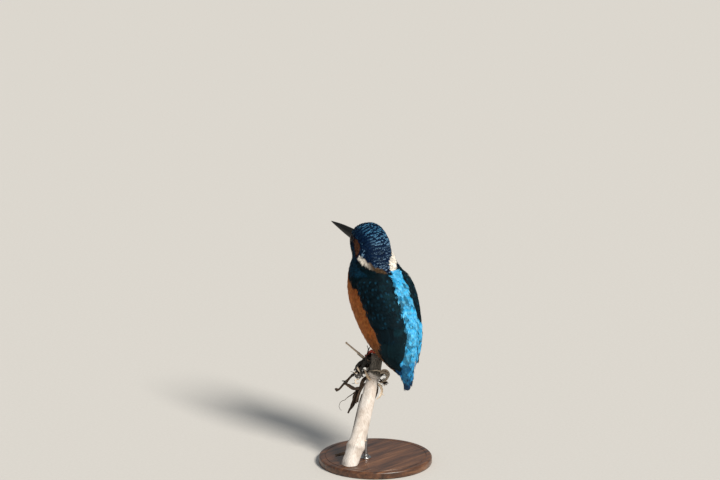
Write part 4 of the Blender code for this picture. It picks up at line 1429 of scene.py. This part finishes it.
def makeTwigs():
    steps = twigForm["steps"]
    u = np.linspace(0, 1, steps)
    v, turn = u[:, None], roundAngles(twigForm["around"])[None]
    for index, (node, (along, out, heading, rise, curl, length, root, tip)) in enumerate(twigs.items()):
        moves = headingVector(heading, rise + curl * (u[:-1] + 0.5 / steps)) * length / (steps - 1)
        start = branchAxis(along) + headingVector(heading, 0) * out
        line = start + np.concatenate((np.zeros((1, 3)), np.cumsum(moves, 0)))
        radii = mix(root, tip, v) * (1 + 0.07 * grain(turn, v * 0.5, 20 + index))
        radii = radii + 0.22 * root * bell(v, 0.55, 0.02) + 0.15 * root * bell(v, 0.98, 0.03)
        if node in twigWander:
            line[:, 2] += easedTable(twigWander[node], u)
            knots = 0.5 * bell(v, 0.40, 0.05) + 0.4 * bell(v, 0.72, 0.04) + 0.6 * bell(v, 0.97, 0.04)
            radii = radii * (0.85 + knots)
        rings = birdToPart(tubeRings(line, radii, twigForm["around"]))[:, ::-1]
        look = "darkSheath" if "dark" in node or "stub" in node else "paleTwig"
        piece = loftPiece(node.replace("perch_", "dead_"), rings, barkLooks[look], 50)
        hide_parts(node)


stripForm = {  # degrees, and mm
    "along": 0.31, "length": 22.0, "width": 4.0, "thick": 0.45, "heading": 44, "rise": -69, "out": 8.4,
}


def sheetRings(line, beside, through, half, x, lift, thick):
    # both faces of a thin sheet about a line: its half width, and how far it lifts and how thick it is there
    faces = [line[:, None] + beside * (half * x)[..., None] + through * (lift + side * thick)[..., None]
             for side in (1, -1)]
    return np.concatenate((faces[0], faces[1][:, ::-1]), 1)


def makeStrip():
    # a peeled sheath that hangs beside the branch, curled about its own length
    way = headingVector(stripForm["heading"], stripForm["rise"])
    beside = headingVector(stripForm["heading"] + 16, 0)
    start = branchAxis(stripForm["along"]) + headingVector(stripForm["heading"], 0) * stripForm["out"]
    u = np.linspace(0, 1, 70)[:, None]
    across = np.linspace(-1, 1, 16)[None]
    half = stripForm["width"] / 2 * (0.35 + 0.65 * np.sin(math.pi * np.minimum(1, 0.10 + u)) ** 0.7)
    half = half * (1 + 0.10 * np.sin(23 * u) * np.sign(across))
    lift = 1.2 * np.sin(2.5 * math.pi * u) + 0.7 * across ** 2 * (0.5 + u) - 0.3
    thick = stripForm["thick"] / 2 * (1 - 0.8 * across ** 4)
    line = start + way * (stripForm["length"] * u)
    rings = birdToPart(sheetRings(line, beside, unit(np.cross(way, beside)), half, across, lift, thick))
    piece = loftPiece("peeled_strip", rings, barkLooks["darkSheath"], 50)
    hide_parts("perch_bark_strip")


# torn leaf sheaths and fibres round the joint, and dark sheets of painted shade behind the toes: wood, width,
# twist in degrees (a round fibre has none), and a line of places to the right, up and nearer from the joint,
# in mm, as seen from the bird's left rear
tangle = {
    "sheath_shoulder": ("greySheath", 3.0, 40, (
        (0, 9.5, 0), (-5.2, 10.6, 1), (-9.0, 9.0, 2), (-12.4, 6.4, 2), (-14.6, 2.6, 1))),
    "sheath_shoulder_back": ("greySheath", 2.6, -60, (
        (-1, 7.5, 2), (-5.4, 9.2, 3), (-8.6, 5.6, 3), (-9.8, 2.0, 2), (-7.4, -1.6, 2))),
    "sheath_mass": ("darkSheath", 3.2, 80, (
        (-2, 5.0, 0), (-6.4, 6.0, 0), (-11.0, 5.2, -1), (-12.6, 1.4, -1), (-9.5, -2.2, 0))),
    "sheath_mass_low": ("greySheath", 2.2, -110, (
        (-3, 2.5, 3), (-6.6, 3.0, 4), (-9.9, 0.4, 4), (-12.8, -0.8, 3), (-14.9, 1.4, 2))),
    # painted shade: these dark pieces behind the toes stand in for the shade between them
    "shade_sheet_under_toes": ("darkSheath", 3.0, 20, (
        (1.0, 8.0, -2.4), (-1.6, 10.8, -2.6), (-4.0, 12.6, -2.8), (-6.6, 12.0, -2.2))),
    "shade_sheet_under_toes_low": ("darkSheath", 2.8, 15, (
        (0.5, 7.0, -1.5), (-2.4, 9.4, -1.8), (-4.9, 10.8, -2.0), (-7.4, 10.4, -1.6))),
    "shade_crumb_under_toes": ("darkSheath", 2.2, 20, ((0.6, 11.0, -1.2), (-1.6, 12.8, -1.4), (-3.4, 13.4, -1.4))),
    "sheath_inner_loop": ("greySheath", 1.2, 90, (
        (-14.2, 1.4, 2), (-13.0, -1.6, 3), (-10.2, -2.0, 3), (-8.2, 0.2, 3), (-8.8, 3.4, 3))),
    "sheath_side": ("darkSheath", 2.6, 50, (
        (-2.5, -1.0, 1), (-6.4, -2.8, 0), (-8.6, -5.6, 0), (-9.9, -9.0, 0), (-11.2, -14.0, 0),
        (-12.0, -19.0, 1))),
    "sheath_side_brown": ("darkSheath", 1.8, -40, (
        (-6.6, -6.0, 1), (-9.4, -10.0, 2), (-11.6, -15.0, 2), (-12.9, -19.6, 2))),
    "sheath_link": ("darkSheath", 2.6, 60, (
        (-21.0, -5.9, 1), (-17.6, -8.0, 1), (-14.4, -9.9, 1), (-10.6, -9.6, 1), (-8.4, -7.4, 0))),
    "sheath_hook": ("greySheath", 1.3, 70, ((-19.4, -6.6, 0), (-21.4, -4.8, 0), (-23.4, -4.4, 1))),
    "fibre_spur": ("darkSheath", 0.7, 0, (
        (-13.4, -11.6, 1), (-16.4, -14.0, 1), (-19.2, -15.8, 0), (-21.6, -18.0, 0))),
    "fibre_hair": ("darkSheath", 0.34, 0, (
        (-21.0, -17.6, 0), (-24.2, -18.6, 0), (-25.8, -21.4, 1), (-24.6, -24.2, 1), (-23.4, -24.0, 2))),
    "fibre_edge": ("darkSheath", 0.6, 0, (
        (-8.6, -13.0, 2), (-10.9, -20.0, 1), (-13.2, -29.0, 1), (-15.4, -38.0, 1), (-17.8, -46.0, 1))),
    "fibre_fork": ("greySheath", 0.95, 0, (
        (-4.2, 6.0, 3), (-5.6, 10.6, 3), (-4.6, 14.4, 2), (-3.8, 17.2, 2), (-4.8, 19.8, 2))),
    "fibre_fork_arm": ("greySheath", 0.7, 0, ((-4.0, 16.2, 2), (-3.2, 18.0, 2), (-2.0, 19.4, 2))),
    "fibre_under_twig": ("greySheath", 0.9, 0, (
        (-3.0, 7.4, 2), (-7.0, 10.2, 1), (-10.4, 12.4, 0), (-12.2, 13.6, 0))),
    "flake_left": ("paleTwig", 1.7, 25, (
        (-2.4, -3.0, 5.0), (-4.0, -1.0, 5.0), (-5.4, 1.6, 4.6), (-6.8, 4.2, 4))),
    "flake_fleck": ("paleTwig", 1.1, 50, ((-12.0, 5.6, 3), (-11.2, 3.6, 3.4), (-10.2, 1.8, 3))),
    "ring_curl": ("paleTwig", 0.9, 160, (
        (-11.2, -3.0, 2), (-13.2, -3.4, 2), (-13.8, -5.2, 2), (-12.2, -6.4, 2), (-10.8, -5.2, 3))),
    "curl_right": ("paleTwig", 2.6, 60, (
        (2.6, -1.4, 1), (5.2, 1.8, 1), (8.6, 2.6, 0), (10.9, 0.4, 0), (10.2, -2.6, 1), (7.6, -3.4, 2))),
    "curl_right_inner": ("darkSheath", 1.8, -60, (
        (4.0, -2.6, 0), (6.2, -0.4, 0), (8.2, 1.0, 0), (9.2, -0.8, 0))),
    "crumb_right": ("darkSheath", 1.6, 120, (
        (3.8, -4.2, 2), (6.4, -5.4, 2), (8.8, -5.6, 1), (10.9, -6.4, 1))),
    "crumb_right_low": ("darkSheath", 1.2, -90, ((4.6, -2.8, 3), (6.8, -4.6, 3), (8.4, -6.8, 2))),
    "crumb_right_pale": ("paleTwig", 0.9, 60, ((5.0, -5.6, 3), (7.8, -3.8, 3), (10.4, -5.0, 2))),
    "sheath_right_dark": ("darkSheath", 2.0, 30, (
        (2.6, -6.0, 1), (2.8, -9.6, 1), (1.9, -13.4, 1), (0.6, -16.6, 1))),
    "sheath_right_pale": ("paleTwig", 1.7, -50, (
        (3.6, -6.0, 2), (5.9, -8.6, 2), (6.5, -11.2, 2), (4.9, -14.4, 2), (2.4, -17.0, 1))),
    "tail_right": ("paleTwig", 0.7, 0, ((5.4, -12.2, 2), (6.8, -13.4, 2), (7.9, -14.2, 2))),
    "nub_right": ("paleTwig", 1.6, 0, ((-9.6, -45.0, 2), (-6.6, -44.6, 2), (-5.2, -44.6, 2))),
}


def jointPlace(points):
    right, up, near = np.asarray(points, float).T
    near = near - 0.46 * up  # the branch leans nearer on its way down
    return (branchAxis(0.19) + right[:, None] * rightward + near[:, None] * nearward
            + up[:, None] * (0.0, 0.0, 1.0))


def curveThrough(points, steps):
    place = np.linspace(0, len(points) - 1, steps)
    line = np.stack([np.interp(place, np.arange(len(points)), points[:, k]) for k in range(3)], 1)
    reach = steps // len(points) // 2
    ends = 2 * line[0] - line[reach:0:-1], 2 * line[-1] - line[-2:-reach - 2:-1]
    return smoothLine(np.concatenate((ends[0], line, ends[1])), 2 * reach + 1)


# fine wisps between the sheaths: how many, and the ranges they start in to the right, up and nearer
wisps = {
    "left": (30, (-14.0, -1.0), (-4.0, 8.0), (0.0, 4.0)),
    "right": (14, (3.5, 10.0), (-8.0, 1.0), (0.0, 3.0)),
}


def wispRows():
    strands = np.random.default_rng(77)
    for side, (count, *ranges) in wisps.items():
        for i in range(count):
            places = [np.array([strands.uniform(*limits) for limits in ranges])]
            way = unit(strands.normal(0, 1, 3) + (-0.4 if side == "left" else 0.3, -0.3, 0))
            for _ in range(3):
                way = unit(way + strands.normal(0, 0.55, 3))
                places.append(places[-1] + way * strands.uniform(1.0, 2.2))
            wood = ("greySheath", "darkSheath", "greySheath", "paleTwig")[i % 4]
            yield wood, strands.uniform(0.30, 0.62), 0, places


def fibreRings(line, u, width, index):
    turn = roundAngles(12)[None]
    radii = width / 2 * (1.1 - 0.7 * u ** 2) * (1 + 0.15 * grain(turn, u, 40 + index))
    return tubeRings(line, radii, 12)[:, ::-1]


def sheathRings(line, u, width, twist, index):
    ahead = unit(np.gradient(line, axis=0))
    across = unit(np.cross(ahead, nearward))
    normal = np.cross(across, ahead)
    turn = np.radians(twist) * (u - 0.3)
    across, normal = (across * np.cos(turn) + normal * np.sin(turn),
                      normal * np.cos(turn) - across * np.sin(turn))
    x = np.linspace(-1, 1, 11)[None]
    half = width / 2 * (0.45 + 0.55 * np.sin(math.pi * np.clip(u + 0.12, 0, 1)) ** 0.6)
    torn = 0.22 * grain(3 * np.sign(x), u, 60 + index) + 0.12 * grain(5 * np.sign(x), 4 * u, 80 + index)
    lift = 0.22 * width * x ** 2 + 0.18 * grain(0 * x, 2 * u, 90 + index)
    return sheetRings(line, across[:, None], normal[:, None], half * (1 + torn), x, lift,
                      0.22 * (1 - 0.75 * x ** 4))


def makeTangle():
    shells = {}
    for index, (wood, width, twist, places) in enumerate([*tangle.values(), *wispRows()]):
        steps = 64 if index < len(tangle) else 24
        line = curveThrough(jointPlace(places), steps)
        u = np.linspace(0, 1, steps)[:, None]
        rings = sheathRings(line, u, width, twist, index) if twist else fibreRings(line, u, width, index)
        verts, faces = loftRings(birdToPart(rings))
        known = shells.setdefault(wood, ([], []))
        start = sum(len(v) for v in known[0])
        known[0].append(verts)
        known[1].extend(tuple(k + start for k in face) for face in faces)
    for wood, (verts, faces) in shells.items():
        mesh = meshFrom("torn_" + wood, np.concatenate(verts), faces)
        finishPiece("torn_" + wood, mesh, barkLooks[wood], 50)


# rims where the sheaths ended: place along, radius, thickness in mm, and the wood
rims = ((0.168, 4.9, 0.42, "paleTwig"), (0.192, 4.75, 0.34, "darkSheath"), (0.214, 5.0, 0.50, "bleachedWood"))


def makeRims():
    angle, turn = roundAngles(144), roundAngles(12)[None]
    for index, (along, radius, thick, wood) in enumerate(rims):
        place = along + 0.012 * np.sin(angle + 2.4 + index) + 0.004 * np.sin(3 * angle + index)
        ahead = unit(branchAxis(along + 0.01) - branchAxis(along - 0.01))
        across = unit(np.array((1.0, 0, 0)) - ahead * ahead[0])
        way = across * np.cos(angle)[:, None] + np.cross(ahead, across) * np.sin(angle)[:, None]
        size = thick * (1 + 0.28 * grain(turn, angle[:, None] * 0.3, 120 + index))
        rings = (branchAxis(place)[:, None] + way[:, None] * (radius + size * np.cos(turn))[..., None]
                 + ahead * (size * 1.3 * np.sin(turn))[..., None])
        mesh = meshFrom("rim", *wrapRings(birdToPart(rings)))
        if wood == "bleachedWood":
            addNumbers(mesh, "paintedShadow", np.zeros(len(mesh.vertices)))
        finishPiece(f"sheath_rim_{index + 1}", mesh, barkLooks[wood], 60)


# walnut: open-grained, waxed and sanded, with a low sheen
def walnutMaterial():
    material, tree, shader, place = startMaterial("waxedWalnut", {
        "Roughness": 0.42, "Coat Weight": 0.25, "Coat Roughness": 0.3})
    squeeze = addNode(tree, "ShaderNodeMapping", values={"Scale": (0.08, 1.0, 1.0)}, links={"Vector": place})
    rings = addNode(tree, "ShaderNodeTexNoise", links={"Vector": squeeze.outputs["Vector"]}, values={
        "Scale": 1 / (3.5 * mm), "Detail": 5.0, "Distortion": 0.6})
    pores = addNode(tree, "ShaderNodeTexNoise", values={"Scale": 1 / (0.5 * mm), "Detail": 2.0},
                    links={"Vector": squeeze.outputs["Vector"]})
    brown = addNode(tree, "ShaderNodeValToRGB", links={"Fac": rings.outputs["Fac"]},
                    stops=((0.30, "#2C1A10"), (0.52, "#5A3822"), (0.70, "#7A5234")))
    level = addNode(tree, "ShaderNodeMapRange", values={"From Min": 0.35, "From Max": 0.5, "To Min": 0.7},
                    links={"Value": pores.outputs["Fac"]})
    shaded = addNode(tree, "ShaderNodeVectorMath", {"operation": "SCALE"},
                     links={0: brown.outputs["Color"], "Scale": level.outputs[0]})
    finishShader(tree, shader, shaded.outputs[0], pores.outputs["Fac"], 0.25, 0.1)
    return material


# steel: brushed along the rod, which draws its gloss out sideways
def steelMaterial():
    material, tree, shader, place = startMaterial("brushedSteel", {
        "Metallic": 1.0, "Roughness": 0.32, "Base Color": (*linearFromHex("#A9ABAD"), 1)})
    squeeze = addNode(tree, "ShaderNodeMapping", values={"Scale": (1.0, 1.0, 0.02)}, links={"Vector": place})
    brush = addNode(tree, "ShaderNodeTexNoise", values={"Scale": 1 / (0.25 * mm), "Detail": 3.0},
                    links={"Vector": squeeze.outputs["Vector"]})
    rough = addNode(tree, "ShaderNodeMapRange", values={"To Min": 0.22, "To Max": 0.45},
                    links={"Value": brush.outputs["Fac"]})
    tree.links.new(rough.outputs[0], shader.inputs["Roughness"])
    finishShader(tree, shader, None, brush.outputs["Fac"], 0.15, 0.05)
    return material


def latheRings(profile, around):
    # a closed turned shape; the profile runs from the axis at the bottom to the axis at the top
    turn = roundAngles(around)
    return np.stack([np.stack((r * np.cos(turn), r * np.sin(turn), np.full(around, z)), -1)
                     for r, z in profile])


standForm = {  # mm; the ferrule's profile goes out from the rod and up from the base
    "foot": 0.3, "chamfer": 1.0, "rim": 1.6, "groove": 4.5, "bead": 0.5, "around": 160, "clear": 0.05,
    "ferrule": ((0.1, 0.0), (2.4, 0.0), (2.6, 0.25), (2.4, 0.7), (0.9, 1.0), (0.7, 2.4), (0.1, 2.7)),
}


def baseProfile(radius, top):
    rim, bead, foot, chamfer = (standForm[part] * mm for part in ("rim", "bead", "foot", "chamfer"))
    arc, inner = np.radians(np.linspace(0, 90, 12)), radius - standForm["groove"] * mm
    profile = [(0.004, 0.0), (radius - chamfer, 0.0), (radius - foot, foot), (radius, chamfer)]
    profile += [(radius - rim + rim * math.cos(a), top - rim + rim * math.sin(a)) for a in arc]
    for a in np.radians(np.linspace(0, 180, 9)):
        profile.append((inner + bead * math.cos(a), top - bead * 0.8 * math.sin(a)))
    return profile + [(0.006, top), (0.003, top)]


def makeStand():
    low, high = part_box("stand_base")
    radius, top = (high[0] - low[0]) / 2, high[2]
    rings = latheRings(baseProfile(radius, top), standForm["around"])
    base = loftPiece("turned_base", rings, walnutMaterial(), 45)
    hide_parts("stand_base")
    low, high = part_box("stand_rod")
    middle, radius = (low + high) / 2, (high[0] - low[0]) / 2
    steel, foot = steelMaterial(), top + standForm["clear"] * mm
    line = [(middle[0], middle[1], z) for z in np.linspace(foot, high[2], 40)]
    rod = loftPiece("steel_rod", tubeRings(line, np.full(40, radius), 40)[:, ::-1], steel, 45)
    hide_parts("stand_rod")
    profile = [(radius + out * mm, up * mm) for out, up in standForm["ferrule"]]
    rings = latheRings(profile, 64) + np.array((middle[0], middle[1], foot))
    loftPiece("steel_ferrule", rings, steel, 45)


# studio: a pale floor, a large soft key from the camera's right and a pale surround
studio = {
    "floor": ("#C9C9C7", "#CDCDCB"), "floorSize": 40.0, "speck": 2.0,  # its two tones, m across, mm
    "world": "#E8ECEF", "worldStrength": 0.36,
    "key": {"way": (0.10, 0.73, 0.67), "spread": 16.0, "strength": 4.3, "colour": "#FFF6EA"},  # degrees wide
    "camera": {"azimuth": 133.0, "elevation": 15.0, "distance": 3.0, "lens": 202.6,
               "right": -8.1, "above": 82.9},  # mm from the feet to the aim
}


def makeFloor():
    material, tree, shader, place = startMaterial("paleFloor", {"Roughness": 0.85, "Specular IOR Level": 0.2})
    speck = addNode(tree, "ShaderNodeTexNoise", values={"Scale": 1 / (studio["speck"] * mm), "Detail": 3.0},
                    links={"Vector": place})
    colour = addNode(tree, "ShaderNodeValToRGB", links={"Fac": speck.outputs["Fac"]},
                     stops=tuple(zip((0.3, 0.7), studio["floor"])))
    finishShader(tree, shader, colour.outputs["Color"])
    half = studio["floorSize"] / 2
    corners = [(-half, -half, 0), (half, -half, 0), (half, half, 0), (-half, half, 0)]
    finishPiece("floor", meshFrom("floor", corners, [(0, 1, 2, 3)]), material, rides=False)


def makeLight():
    world = bpy.data.worlds.new("surround")
    bpy.context.scene.world = world
    world.use_nodes = True
    background = world.node_tree.nodes["Background"]
    background.inputs["Color"].default_value = (*linearFromHex(studio["world"]), 1)
    background.inputs["Strength"].default_value = studio["worldStrength"]
    look = studio["key"]
    light = bpy.data.lights.new("softKey", "SUN")
    light.angle, light.energy = math.radians(look["spread"]), look["strength"]
    light.color = linearFromHex(look["colour"])
    addObject("softKey", light).rotation_euler = Vector(look["way"]).to_track_quat("Z", "Y").to_euler()


def makeCamera():
    look = studio["camera"]
    azimuth, elevation = math.radians(look["azimuth"]), math.radians(look["elevation"])
    back = Vector((math.sin(azimuth) * math.cos(elevation), -math.cos(azimuth) * math.cos(elevation),
                   math.sin(elevation)))
    right = Vector((math.cos(azimuth), math.sin(azimuth), 0))
    aim = Vector(feet) + right * look["right"] * mm + back.cross(right) * look["above"] * mm
    camera = addObject("camera", bpy.data.cameras.new("camera"))
    camera.data.lens, camera.data.sensor_width = look["lens"], 36.0
    camera.data.clip_start, camera.data.clip_end = 0.05, 30.0
    camera.location = aim + back * look["distance"]
    camera.rotation_euler = back.to_track_quat("Z", "Y").to_euler()
    bpy.context.scene.camera = camera
    bpy.context.scene.view_settings.view_transform = "Standard"


makeFloor()
makeLight()
makeCamera()
print("studio done")
makeSkin()
makeBill("upper_mandible", True, "bill_upper")
makeBill("lower_mandible", False, "bill_lower")
for word in eyes:
    makeEye(word)
    makeLid(word)
print("skin, bill and eyes done")
headCoat()
crownCoat()
neckCoat()
patchCoat()
trunkCoat()
for word, side in sides.items():
    wingCoat(word, side)
tailCoat()
print("coat done")
makeBranch()
makeTwigs()
makeStrip()
makeTangle()
makeRims()
makeStand()
print("perch and stand done")
